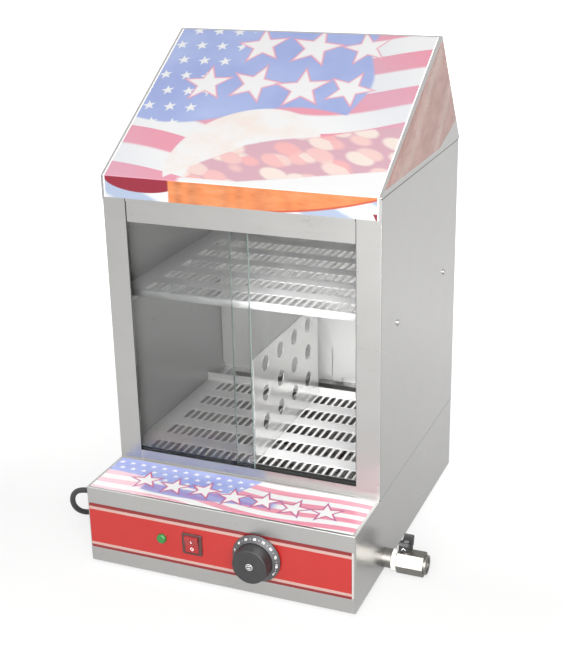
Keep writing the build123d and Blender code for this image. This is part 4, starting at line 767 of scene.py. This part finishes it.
# ---- geometry recipes ----
class Recipe:
    # one Geometry Nodes tree with named inputs
    def __init__(self, name, inputs):
        self.tree = bpy.data.node_groups.new(name, "GeometryNodeTree")
        face = self.tree.interface
        face.new_socket(name="Geometry", in_out="OUTPUT", socket_type="NodeSocketGeometry")
        self.keys = {}
        for label, kind in inputs.items():
            made = face.new_socket(name=label, in_out="INPUT", socket_type="NodeSocket" + kind)
            self.keys[label] = made.identifier
        self.entry = self.tree.nodes.new("NodeGroupInput")
        self.way = self.tree.nodes.new("NodeGroupOutput")

    def given(self, label):
        return self.entry.outputs[label]

    def node(self, kind, settings=None, values=None, output=0):
        return addNode(self.tree, kind, settings, values).outputs[output]

    def number(self, operation, first, second):
        return self.node("ShaderNodeMath", {"operation": operation}, {0: first, 1: second})

    def shape(self, label):
        return self.node("GeometryNodeObjectInfo", None, {"Object": self.given(label)}, "Geometry")

    def close(self, geometry):
        whole = self.node("GeometryNodeRealizeInstances", None, {0: geometry})
        values = {0: whole, "Material": self.given("Finish")}
        finished = self.node("GeometryNodeSetMaterial", None, values)
        self.tree.links.new(finished, self.way.inputs[0])

    def grow(self, name, values):
        # a plain mesh object from the tree's result
        carrier = placed(name + "Carrier", bpy.data.meshes.new(name + "Carrier"))
        modifier = carrier.modifiers.new("recipe", "NODES")
        modifier.node_group = self.tree
        for label, value in values.items():
            modifier[self.keys[label]] = value
        bpy.context.view_layer.update()
        grown = carrier.evaluated_get(bpy.context.evaluated_depsgraph_get())
        mesh = bpy.data.meshes.new_from_object(grown)
        mesh.name = name
        carrier.modifiers.remove(modifier)
        bpy.data.objects.remove(carrier)
        return placed(name, mesh)


def gridRecipe():
    # copies of one cell in columns and rows
    recipe = Recipe("punchedGrid", {"Cell": "Object", "Columns": "Int", "Rows": "Int",
                                    "Pitch X": "Float", "Pitch Y": "Float", "Finish": "Material"})
    gaps = [recipe.number("SUBTRACT", recipe.given(count), 1.0) for count in ("Columns", "Rows")]
    grid = recipe.node("GeometryNodeMeshGrid", None, {
        "Size X": recipe.number("MULTIPLY", gaps[0], recipe.given("Pitch X")),
        "Size Y": recipe.number("MULTIPLY", gaps[1], recipe.given("Pitch Y")),
        "Vertices X": recipe.given("Columns"), "Vertices Y": recipe.given("Rows"),
    })
    values = {"Points": grid, "Instance": recipe.shape("Cell")}
    recipe.close(recipe.node("GeometryNodeInstanceOnPoints", None, values))
    return recipe


def stampRecipe():
    # one stamp on every point, its Z along the point's own direction
    recipe = Recipe("stampsOnPoints", {"Places": "Object", "Stamp": "Object", "Finish": "Material"})
    heading = recipe.node("GeometryNodeInputNamedAttribute", {"data_type": "FLOAT_VECTOR"},
                          {"Name": "heading"})
    turn = recipe.node("FunctionNodeAlignRotationToVector", {"axis": "Z"}, {"Vector": heading})
    values = {"Points": recipe.shape("Places"), "Instance": recipe.shape("Stamp"), "Rotation": turn}
    recipe.close(recipe.node("GeometryNodeInstanceOnPoints", None, values))
    return recipe


punchedGrid = gridRecipe()
stampsOnPoints = stampRecipe()


# ---- mesh helpers ----
def circle(radius, count):
    angles = [fullTurn * step / count for step in range(count)]
    return [(radius * cos(angle), radius * sin(angle)) for angle in angles]


def rectangle(halfX, halfY):
    return [(-halfX, -halfY), (halfX, -halfY), (halfX, halfY), (-halfX, halfY)]


def flatVerts(bm, points, z=0):
    return [bm.verts.new((x, y, z)) for x, y in points]


def closedEdges(bm, verts):
    return [bm.edges.new(pair) for pair in zip(verts, verts[1:] + verts[:1])]


def meshOf(name, bm):
    mesh = bpy.data.meshes.new(name)
    bm.to_mesh(mesh)
    bm.free()
    return mesh


def helperObject(name, bm, finish=None):
    made = placed(name, meshOf(name, bm))
    if finish:
        made.data.materials.append(finish)
    return made


def addWall(made, thickness):
    wall = made.modifiers.new("wall", "SOLIDIFY")
    wall.thickness = thickness
    wall.offset = -1


def settle(made, body, replaced=(), smooth=35):
    if smooth:
        for face in made.data.polygons:
            face.use_smooth = True
        made.data.set_sharp_from_angle(angle=radians(smooth))
    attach(made, body)
    if replaced:
        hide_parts(*replaced)
    return made


def stampAll(name, places, headings, stamp, finish):
    # the stamp at every place, as one fastener piece
    mesh = bpy.data.meshes.new(name + "Places")
    mesh.from_pydata([tuple(place) for place in places], [], [])
    stored = mesh.attributes.new("heading", "FLOAT_VECTOR", "POINT")
    for item, heading in zip(stored.data, headings):
        item.vector = heading
    spots = placed(name + "Places", mesh)
    made = stampsOnPoints.grow(name, {"Places": spots, "Stamp": stamp, "Finish": finish})
    bpy.data.objects.remove(spots)
    bpy.data.objects.remove(stamp)
    return settle(made, rootBody)


def lathe(profile, segments):
    # turns (radius, height) points about Z; profiles run from the bottom up and close on the axis
    bm = bmesh.new()
    rings = [flatVerts(bm, circle(radius, segments) if radius > 1e-7 else [(0, 0)], height)
             for radius, height in profile]
    for low, high in zip(rings, rings[1:]):
        for step in range(segments):
            after = (step + 1) % segments
            corners = [low[step % len(low)], low[after % len(low)],
                       high[after % len(high)], high[step % len(high)]]
            unique = list(dict.fromkeys(corners))
            if len(unique) > 2:
                bm.faces.new(unique)
    bmesh.ops.recalc_face_normals(bm, faces=bm.faces)
    return bm


# ---- punched shelf and tray ----
shelfPunch = {
    "columns": 29, "rows": 5, "pitchX": 0.010, "pitchY": 0.049,
    "slotWidth": 0.006, "slotLength": 0.026, "cellLength": 0.030, "firstRow": 0.018,
    "sheet": 0.0008, "bend": 0.0012,
}
trayPunch = {
    "columns": 30, "rows": 5, "pitchX": 0.010, "pitchY": 0.050,
    "slotWidth": 0.0065, "slotLength": 0.027, "cellLength": 0.031, "firstRow": 0.0215,
    "sheet": 0.0008, "bend": 0.0,
}


def punchCell(sizes, segments=7):
    # a flat cell around one slot with round ends
    bm = bmesh.new()
    corners = flatVerts(bm, rectangle(sizes["pitchX"] / 2, sizes["cellLength"] / 2))
    radius = sizes["slotWidth"] / 2
    reach = sizes["slotLength"] / 2 - radius
    rim = []
    for end, start in ((reach, 0.0), (-reach, pi)):
        angles = [start + pi * step / segments for step in range(segments + 1)]
        rim += [(radius * cos(angle), end + radius * sin(angle)) for angle in angles]
    edges = [edge for loop in (corners, flatVerts(bm, rim)) for edge in closedEdges(bm, loop)]
    bmesh.ops.triangle_fill(bm, edges=edges, use_beauty=True, normal=(0, 0, 1))
    for face in bm.faces:
        if face.normal.z < 0:
            face.normal_flip()
    return helperObject("punchCell", bm)


def makePunchedSheet(name, node, sizes):
    low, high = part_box(node)
    cell = punchCell(sizes)
    made = punchedGrid.grow(name, {
        "Cell": cell, "Columns": sizes["columns"], "Rows": sizes["rows"],
        "Pitch X": sizes["pitchX"], "Pitch Y": sizes["pitchY"], "Finish": punchedSteel,
    })
    bpy.data.objects.remove(cell)
    middleY = low.y + sizes["firstRow"] + (sizes["rows"] - 1) * sizes["pitchY"] / 2
    bend = sizes["bend"]
    bm = bmesh.new()
    bm.from_mesh(made.data)
    bmesh.ops.translate(bm, verts=bm.verts, vec=(0, middleY, high.z))
    bmesh.ops.remove_doubles(bm, verts=bm.verts, dist=1e-6)

    # the sheet between the rows of cells and the sheet's own outline
    sides = (sizes["pitchX"], sizes["cellLength"])
    rim = [
        edge for edge in bm.edges
        if edge.is_boundary and min(abs(edge.calc_length() - side) for side in sides) < 1e-6
    ]
    frontY = low.y + bend
    ends = [(low.x, frontY), (high.x, frontY), (high.x, high.y), (low.x, high.y)]
    outline = flatVerts(bm, ends, high.z)
    border = closedEdges(bm, outline)
    bmesh.ops.triangle_fill(bm, edges=rim + border, use_beauty=True, normal=(0, 0, 1))
    if bend:
        # the front edge is bent down over a small radius
        rows = [(outline[0], outline[1])]
        arc = [(low.y + bend - bend * sin(angle), high.z - bend + bend * cos(angle))
               for angle in (pi / 8, pi / 4, 3 * pi / 8, pi / 2)]
        for y, z in arc + [(low.y, low.z)]:
            rows.append((bm.verts.new((low.x, y, z)), bm.verts.new((high.x, y, z))))
        for upper, lower in zip(rows, rows[1:]):
            bm.faces.new((upper[1], upper[0], lower[0], lower[1]))
    for face in bm.faces:
        if face.normal.z < -0.01 or (abs(face.normal.z) < 0.01 and face.normal.y > 0):
            face.normal_flip()
    bmesh.ops.recalc_face_normals(bm, faces=bm.faces)
    if sum(face.normal.z for face in bm.faces) < 0:
        bmesh.ops.reverse_faces(bm, faces=bm.faces)
    bm.to_mesh(made.data)
    bm.free()
    addWall(made, sizes["sheet"])
    return settle(made, rootBody, (node,), smooth=30)


makePunchedSheet("bunShelf", "bun_shelf", shelfPunch)
makePunchedSheet("steamTray", "steam_tray", trayPunch)
print("shelf and tray punched")

# ---- blind rivets ----
rivetSizes = {
    "head": 0.0036, "height": 0.0019, "hole": 0.0011, "sink": 0.0004, "segments": 28,
    "sideX": 0.175, "backX": 0.1685, "backY": 0.205,
    "backPitch": 0.100, "backCount": 4, "backMiddle": 0.287,
}


def makeRivets():
    size = rivetSizes
    head, height, hole, sink = (size[key] for key in ("head", "height", "hole", "sink"))
    dome = [(0.0, -sink), (head * 0.96, -sink), (head, 0.0002), (head * 0.93, height * 0.45),
            (head * 0.72, height * 0.82), (head * 0.45, height), (hole, height),
            (hole * 0.95, height * 0.35), (hole * 0.5, height * 0.5), (0.0, height * 0.55)]
    stamp = helperObject("rivetStamp", lathe(dome, size["segments"]))
    places, headings = [], []
    for side in (-1, 1):
        for y in seamPlaces["rivetsY"]:
            places.append(Vector((side * size["sideX"], y, seamPlaces["rivetZ"])))
            headings.append(Vector((side, 0, 0)))
        for step in range(size["backCount"]):
            z = size["backMiddle"] + (step - (size["backCount"] - 1) / 2) * size["backPitch"]
            places.append(Vector((side * size["backX"], size["backY"], z)))
            headings.append(Vector((0, 1, 0)))
    stampAll("blindRivets", places, headings, stamp, plain["boltSteel"])


makeRivets()
print("rivets set")


# ---- printed marks ----
def glyphMesh(text, height):
    letters = bpy.data.curves.new("glyph", "FONT")
    letters.body = text
    letters.size = height
    letters.align_x = "CENTER"
    letters.align_y = "CENTER"
    letters.offset = height * 0.02
    letters.resolution_u = 3
    holder = placed("glyph", letters)
    bpy.context.view_layer.update()
    depsgraph = bpy.context.evaluated_depsgraph_get()
    mesh = bpy.data.meshes.new_from_object(holder.evaluated_get(depsgraph))
    bpy.data.objects.remove(holder)
    return mesh


def outlineMesh(points):
    bm = bmesh.new()
    bm.faces.new(flatVerts(bm, points))
    return meshOf("outline", bm)


def ringMesh(radius, inner, sides):
    bm = bmesh.new()
    rim, core = (flatVerts(bm, circle(size, sides)) for size in (radius, inner))
    for step in range(sides):
        after = (step + 1) % sides
        bm.faces.new((core[step], rim[step], rim[after], core[after]))
    return meshOf("ring", bm)


def printMarks(name, parts, body):
    # several flat meshes with their places, as one thin printed piece
    bm = bmesh.new()
    for mesh, matrix in parts:
        mesh.transform(matrix)
        bm.from_mesh(mesh)
    made = helperObject(name, bm, plain["printWhite"])
    addWall(made, 0.00004)
    settle(made, body, smooth=0)


dialMarks = {
    "faceRadius": 0.0272,
    "faceOut": 0.00679,  # from the panel, at that radius
    "lean": atan2(5.5, 6.5),
    "numbers": ("30", "40", "50", "60", "70", "80", "90", "100", "110"),
    "firstAngle": -72.0,
    "step": 24.0,
    "height": 0.0040,
    "lift": 0.00006,
    "dot": 0.0004,
    "wedge": [(-0.0011, -0.0016), (0.0011, -0.0016), (0.0, 0.0018)],
}


def dialPlace(degrees):
    # matrix on the dial's sloping face: X round it, Y outwards along it, Z off it
    mark = dialMarks
    angle, lean = radians(degrees), mark["lean"]
    outward = Vector((sin(angle), 0, cos(angle)))
    around = Vector((cos(angle), 0, -sin(angle)))
    up = (outward * cos(lean) + Vector((0, 1, 0)) * sin(lean)).normalized()
    off = around.cross(up)
    centre = Vector((panel["knobX"], panel["frontY"] - mark["faceOut"], panel["middleZ"]))
    return standing(centre + outward * mark["faceRadius"] + off * mark["lift"], around, up, off)


def makeDialMarks():
    mark = dialMarks
    parts = []
    for count, number in enumerate(mark["numbers"]):
        degrees = mark["firstAngle"] + mark["step"] * count
        parts.append((glyphMesh(number, mark["height"]), dialPlace(degrees)))
        if count < len(mark["numbers"]) - 1:
            dot = outlineMesh(circle(mark["dot"], 12))
            parts.append((dot, dialPlace(degrees + mark["step"] / 2)))
    parts.append((outlineMesh(mark["wedge"]), dialPlace(mark["firstAngle"] - mark["step"])))
    printMarks("dialMarks", parts, "knob")


makeDialMarks()

rockerMarks = {
    "pivotY": -0.2035,
    "tilt": radians(10),
    "corner": 0.01160,  # from the pivot
    "cornerAngle": radians(61),
    "dish": 0.0013,
    "ring": (0.0021, 0.0014, 28),  # outer and inner radius, sides
    "barHalf": (0.00045, 0.0019),
    "lift": 0.00006,
}


def makeRockerMarks():
    mark = rockerMarks
    tilt, dish = mark["tilt"], mark["dish"]
    cornerOut = mark["corner"] * cos(mark["cornerAngle"])
    cornerUp = mark["corner"] * sin(mark["cornerAngle"])
    out = Vector((0, -cos(tilt), -sin(tilt)))
    up = Vector((0, -sin(tilt), cos(tilt)))
    right = Vector((1, 0, 0))
    pivot = Vector((panel["rockerX"], mark["pivotY"], panel["middleZ"]))
    edgeWay = Vector((dish, cornerUp)).normalized()  # along the face, out and up
    shapes = ((1, outlineMesh(rectangle(*mark["barHalf"]))), (-1, ringMesh(*mark["ring"])))
    parts = []
    for way, mesh in shapes:
        middle = pivot + out * (cornerOut - dish / 2) + up * way * cornerUp / 2
        faceUp = (out * edgeWay.x * way + up * edgeWay.y).normalized()
        off = right.cross(faceUp)
        parts.append((mesh, standing(middle + off * mark["lift"], right, faceUp, off)))
    printMarks("rockerMarks", parts, "rocker")


makeRockerMarks()

handleArrow = {
    "points": [(-0.0026, -0.0022), (0.0, 0.0008), (0.0026, -0.0022),
               (0.0026, -0.0006), (0.0, 0.0026), (-0.0026, -0.0006)],
    "lean": atan2(2.7, 9.8),
    "inset": 0.0014,
    "rise": 0.0050,
    "lift": 0.0001,
}


def makeHandleArrow():
    mark = handleArrow
    low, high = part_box("valve_handle")
    right = Vector((1, 0, 0))
    up = Vector((0, -sin(mark["lean"]), cos(mark["lean"])))
    off = right.cross(up)
    place = Vector(((low.x + high.x) / 2, low.y + mark["inset"], low.z + mark["rise"]))
    matrix = standing(place + off * mark["lift"], right, up, off)
    printMarks("handleArrow", [(outlineMesh(mark["points"]), matrix)], "drain_core")


makeHandleArrow()
print("marks printed")

# ---- ground edges of the door glass ----
edgeSizes = {"inset": 0.0007, "lift": 0.00003}


def makeEdges(name, node, body):
    low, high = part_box(node)
    inset = Vector([edgeSizes["inset"]] * 3)
    near, far = low + inset, high - inset
    bm = bmesh.new()
    for axis, across, along in ((0, 1, 2), (2, 0, 1)):
        for level, way in ((low[axis], -1), (high[axis], 1)):
            corners = []
            for first, second in ((near, near), (far, near), (far, far), (near, far)):
                corner = Vector([level + way * edgeSizes["lift"]] * 3)
                corner[across], corner[along] = first[across], second[along]
                corners.append(bm.verts.new(corner))
            bm.faces.new(corners[::way])
    settle(helperObject(name, bm, groundEdge), body, smooth=0)


makeEdges("frontDoorEdges", "door_front", "door_front")
makeEdges("rearDoorEdges", "door_rear", "door_rear")
print("door edges ground")

# ---- painted shade for the cross recesses in the pan heads ----
screwRecess = {"length": 0.0034, "width": 0.0009, "lift": 0.00004, "depth": 0.00003}


def crossMesh(length, width):
    long, slim = length / 2, width / 2
    return outlineMesh([
        (slim, slim), (slim, long), (-slim, long), (-slim, slim), (-long, slim), (-long, -slim),
        (-slim, -slim), (-slim, -long), (slim, -long), (slim, -slim), (long, -slim), (long, slim),
    ])


def looseParts(node):
    # the points of a node's separate solids
    bm = bmesh.new()
    bm.from_mesh(nodes[node].data)
    bmesh.ops.remove_doubles(bm, verts=bm.verts, dist=1e-6)
    left = set(bm.verts)
    groups = []
    while left:
        grown, edge = set(), [left.pop()]
        while edge:
            vert = edge.pop()
            grown.add(vert)
            for joining in vert.link_edges:
                other = joining.other_vert(vert)
                if other in left:
                    left.discard(other)
                    edge.append(other)
        groups.append([vert.co.copy() for vert in grown])
    bm.free()
    return groups


def makeScrewRecessShade():
    # a screw's head is the end with the wider rim; screws along Y keep plain heads
    size = screwRecess
    places, headings = [], []
    for points in looseParts("cabinet_screws"):
        low, high = (Vector([pick(point[axis] for point in points) for axis in range(3)])
                     for pick in (min, max))
        middle, spans = (low + high) / 2, high - low
        axis = max(range(3), key=lambda place: spans[place])
        if axis == 1:
            continue
        ends = []
        for level, way in ((low[axis], -1), (high[axis], 1)):
            rim = [point - middle for point in points if abs(point[axis] - level) < 1e-5]
            ends.append((max(point.length_squared - point[axis] ** 2 for point in rim), level, way))
        reach, level, way = max(ends)
        place, heading = middle.copy(), Vector((0, 0, 0))
        place[axis] = level + way * size["lift"]
        heading[axis] = way
        places.append(place)
        headings.append(heading)
    # a flat dark cross on each head where its recess is: painted shade
    stamp = placed("crossStamp", crossMesh(size["length"], size["width"]))
    addWall(stampAll("screwRecesses", places, headings, stamp, plain["recessShade"]), size["depth"])


makeScrewRecessShade()
print("screw recesses cut")

# ---- strain relief where the lead leaves the base ----
reliefSizes = {
    "exit": (-0.175, -0.157, 0.068),
    "flange": 0.0100, "flangeThick": 0.0030, "neck": 0.0076, "lock": 0.0090, "inside": 0.0048,
    "root": 0.0072, "tip": 0.0051, "length": 0.0260, "ribs": 6, "groove": 0.0009, "bore": 0.0038,
}
ribShape = ((0.0, 0.0), (0.10, 0.15), (0.52, 0.15), (0.62, 1.0), (0.90, 1.0), (0.98, 0.0))


def ribbedSleeve(start, end, rootRadius, tipRadius, ribs, groove):
    # radius and height pairs of a tapered sleeve with rings cut into it
    pitch = (end - start) / ribs
    rows = []
    for rib in range(ribs):
        for share, cut in ribShape:
            height = start + (rib + share) * pitch
            radius = rootRadius + (tipRadius - rootRadius) * (height - start) / (end - start)
            rows.append((radius - groove * cut, height))
    return rows + [(tipRadius, end - 0.0004), (tipRadius - 0.0005, end)]


def reliefMesh(name, profile, place, way, finish, segments=36):
    bm = lathe(profile, segments)
    turn = Vector(way).to_track_quat("Z", "Y").to_matrix().to_4x4()
    bmesh.ops.transform(bm, matrix=Matrix.Translation(place) @ turn, verts=bm.verts)
    return helperObject(name, bm, finish)


def makeStrainRelief():
    size = reliefSizes
    bore, inside, neck = size["bore"], -size["inside"], size["neck"]
    flange, thick = size["flange"], size["flangeThick"]
    profile = [(bore, inside), (neck - 0.0004, inside), (neck, inside + 0.0006),
               (size["lock"], -0.0009), (neck, -0.0008), (neck, 0.0),
               (flange - 0.0003, 0.0), (flange, 0.0003), (flange, thick - 0.0008),
               (flange - 0.0009, thick - 0.0001), (size["root"] + 0.0006, thick)]
    profile += ribbedSleeve(thick + 0.0003, size["length"], size["root"], size["tip"],
                            size["ribs"], size["groove"])
    profile += [(bore, size["length"]), (bore, inside)]
    made = reliefMesh("strainRelief", profile, size["exit"], (-1, 0, 0), plain["footRubber"])
    settle(made, rootBody, ("cord_gland",))


makeStrainRelief()
print("strain relief moulded")

# ---- thread in the drain's outlet ----
threadSizes = {
    "axisY": -0.0965, "axisZ": 0.0145, "outlet": 0.2294, "depth": 0.0135, "pitch": 0.0018,
    "crest": 0.0087, "root": 0.00928, "sides": 40, "inset": 0.0004,
}


def makeOutletThread():
    size = threadSizes
    sides, pitch = size["sides"], size["pitch"]
    rows = int(size["depth"] / pitch) * 2
    bm = bmesh.new()
    columns = []
    for side in range(sides):
        angle = fullTurn * side / sides
        columns.append([])
        for row in range(rows):
            radius = size["crest"] if row % 2 else size["root"]
            x = size["outlet"] - pitch * (row / 2 + side / sides) - size["inset"]
            y = size["axisY"] + radius * cos(angle)
            columns[-1].append(bm.verts.new((x, y, size["axisZ"] + radius * sin(angle))))
    for side in range(sides):
        here, after = columns[side], columns[(side + 1) % sides]
        shift = 2 if side == sides - 1 else 0  # the last column meets the first one turn on
        for row in range(rows - 1 - shift):
            joined = (after[row + 1 + shift], after[row + shift])
            bm.faces.new((here[row], here[row + 1], *joined))
    bmesh.ops.recalc_face_normals(bm, faces=bm.faces)
    made = helperObject("outletThread", bm, plain["nickelPlate"])
    settle(made, rootBody, smooth=0)


makeOutletThread()
print("thread cut")

# ---- mains lead ----
leadSizes = {
    "diameter": 0.0072,
    "length": 1.5,
    "coilRadius": 0.044,
    "coilStep": 0.008,
    "coilLift": 0.0079,
    "coilTurns": 4.0,
    "pointsPerTurn": 16,
    "tail": 0.048,  # from the last turn to the plug
}
plugSleeve = {
    "bore": 0.0037, "back": -0.0008, "length": 0.028, "root": 0.0066, "tip": 0.0048,
    "ribs": 7, "groove": 0.0008,
}
lyingZ = -0.0004
leadRoute = [
    (-0.184, -0.157, 0.068),
    (-0.212, -0.157, 0.068),
    (-0.234, -0.148, 0.052),
    (-0.242, -0.137, 0.027),
    (-0.238, -0.120, 0.008),
    (-0.225, -0.092, lyingZ),
    (-0.211, -0.048, lyingZ),
    (-0.201, 0.020, lyingZ),
    (-0.206, 0.086, lyingZ),
    (-0.203, 0.150, lyingZ),
    (-0.193, 0.206, lyingZ),
    (-0.168, 0.252, lyingZ),
    (-0.133, 0.287, lyingZ),
]


def coilPoints(sizes):
    start = Vector(leadRoute[-1])
    way = (start - Vector(leadRoute[-2])).normalized()
    firstAngle = atan2(way.x, -way.y)  # the turns run clockwise
    outward = Vector((cos(firstAngle), sin(firstAngle), 0))
    centre = start + way * sizes["diameter"] - outward * sizes["coilRadius"]
    turns = sizes["coilTurns"]
    steps = int(turns * sizes["pointsPerTurn"])
    points = []
    for step in range(steps + 1):
        turn = turns * step / steps
        climb = min(max((turn - turns / 2 + 0.25) / 0.5, 0), 1)
        rise = sizes["coilLift"] * (climb - sin(fullTurn * climb) / fullTurn)
        radius = sizes["coilRadius"] - sizes["coilStep"] * min(turn, turns - turn)
        angle = firstAngle - fullTurn * turn
        points.append(centre + Vector((radius * cos(angle), radius * sin(angle), rise)))
    leaving = (points[-1] - points[-2]).normalized()
    return points, Vector((leaving.x, leaving.y, 0)).normalized()


def plugRelief(nose, way):
    size = plugSleeve
    bore, back, length, root = (size[key] for key in ("bore", "back", "length", "root"))
    sleeve = ribbedSleeve(0.0, length, root, size["tip"], size["ribs"], size["groove"])
    profile = [(bore, back), (root, back)] + sleeve + [(bore, length), (bore, back)]
    made = reliefMesh("plugRelief", profile, nose, way, plain["cordRubber"])
    return settle(made, rootBody)


def makeLead():
    size = leadSizes
    coil, leaving = coilPoints(size)
    heading = Matrix.Rotation(-pi / size["pointsPerTurn"], 3, "Z") @ leaving
    tail = [coil[-1] + heading * size["tail"] * share for share in (0.4, 1.02)]
    points = [Vector(point) for point in leadRoute] + coil[1:] + tail
    curve = bpy.data.curves.new("mainsLead", "CURVE")
    curve.dimensions = "3D"
    spline = curve.splines.new("NURBS")
    spline.points.add(len(points) - 1)
    for place, point in zip(spline.points, points):
        place.co = (*point, 1)
    spline.order_u = 3
    spline.use_endpoint_u = True
    spline.resolution_u = 8
    curve.resolution_u = 8
    curve.bevel_depth = size["diameter"] / 2
    curve.bevel_resolution = 4
    curve.use_fill_caps = True
    curve.materials.append(plain["cordRubber"])
    lead = placed("mainsLead", curve)
    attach(lead, rootBody)
    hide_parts("cord", "cord_coil")
    relief = plugRelief(coil[-1] + heading * size["tail"], -heading)


makeLead()
print("mains lead laid")

# ---- floor and light ----
studio = {
    "floorZ": -0.004,
    "floorHalf": 20.0,
    "floorTones": ((0.19, 0.19, 0.19), (0.22, 0.22, 0.215)),
    "white": (1.0, 1.0, 1.0),
    "aim": (0, 0, 0.25),
    "worldLevel": 0.62,
    "lamps": {  # place, power and size
        "keyLamp": ((-1.3, -2.0, 2.1), 10.0, 1.6),
        "fillLamp": ((2.2, -1.6, 1.5), 13.0, 1.6),
        "frontLamp": ((0.60, -2.0, 1.0), 105.0, 1.8),
    },
}


def seenDirectly(paint):
    # camera, glossy and transmission rays see the white surroundings
    kinds = ("Is Camera Ray", "Is Glossy Ray", "Is Transmission Ray")
    rays = [paint.node("LightPath", output=kind) for kind in kinds]
    return (rays[0] + rays[1] + rays[2]).clamped()


def makeFloor():
    paint = Paint("studioFloor")
    tone = paint.mix(paint.noise(3.0, 3.0), *studio["floorTones"])
    x, y, z = paint.axes()
    away = x.span(y).above(1.0, 1.2)
    behind = y.above(0.35, 0.9)
    ahead = y.below(-0.25, 0.3)
    direct = paint.node("LightPath", output="Is Camera Ray")
    mirrored = seenDirectly(paint) * (1 - direct)
    lift = direct * (behind * 0.45 + away * 0.35 + 0.67)
    lift = lift + mirrored * (ahead * 0.22 - away * 0.1 + behind * 0.5 + 0.42)
    cloth = paint.node("BsdfDiffuse", None, {"Color": tone})
    glow = paint.node("Emission", None, {"Color": studio["white"], "Strength": lift})
    both = paint.node("AddShader", None, {0: cloth, 1: glow})
    paint.node("OutputMaterial", None, {"Surface": both})
    half = studio["floorHalf"]
    bm = bmesh.new()
    bm.faces.new(flatVerts(bm, rectangle(half, half), studio["floorZ"]))
    helperObject("studioFloor", bm, paint.material)


def makeWorld():
    world = bpy.data.worlds.new("studioWorld")
    world.use_nodes = True
    paint = Paint("studioWorld", tree=world.node_tree)
    strength = seenDirectly(paint) * (1 - studio["worldLevel"]) + studio["worldLevel"]
    light = paint.node("Background", None, {"Color": studio["white"], "Strength": strength})
    paint.node("OutputWorld", None, {"Surface": light})
    scene.world = world


def makeLamp(name, place, power, size):
    lamp = bpy.data.lights.new(name, "AREA")
    lamp.energy = power
    lamp.size = size
    holder = placed(name, lamp)
    holder.location = place
    holder.rotation_mode = "QUATERNION"
    way = Vector(place) - Vector(studio["aim"])
    holder.rotation_quaternion = way.to_track_quat("Z", "Y")


makeFloor()
makeWorld()
for lampName, lampValues in studio["lamps"].items():
    makeLamp(lampName, *lampValues)
scene.view_settings.view_transform = "Standard"
print("studio ready")
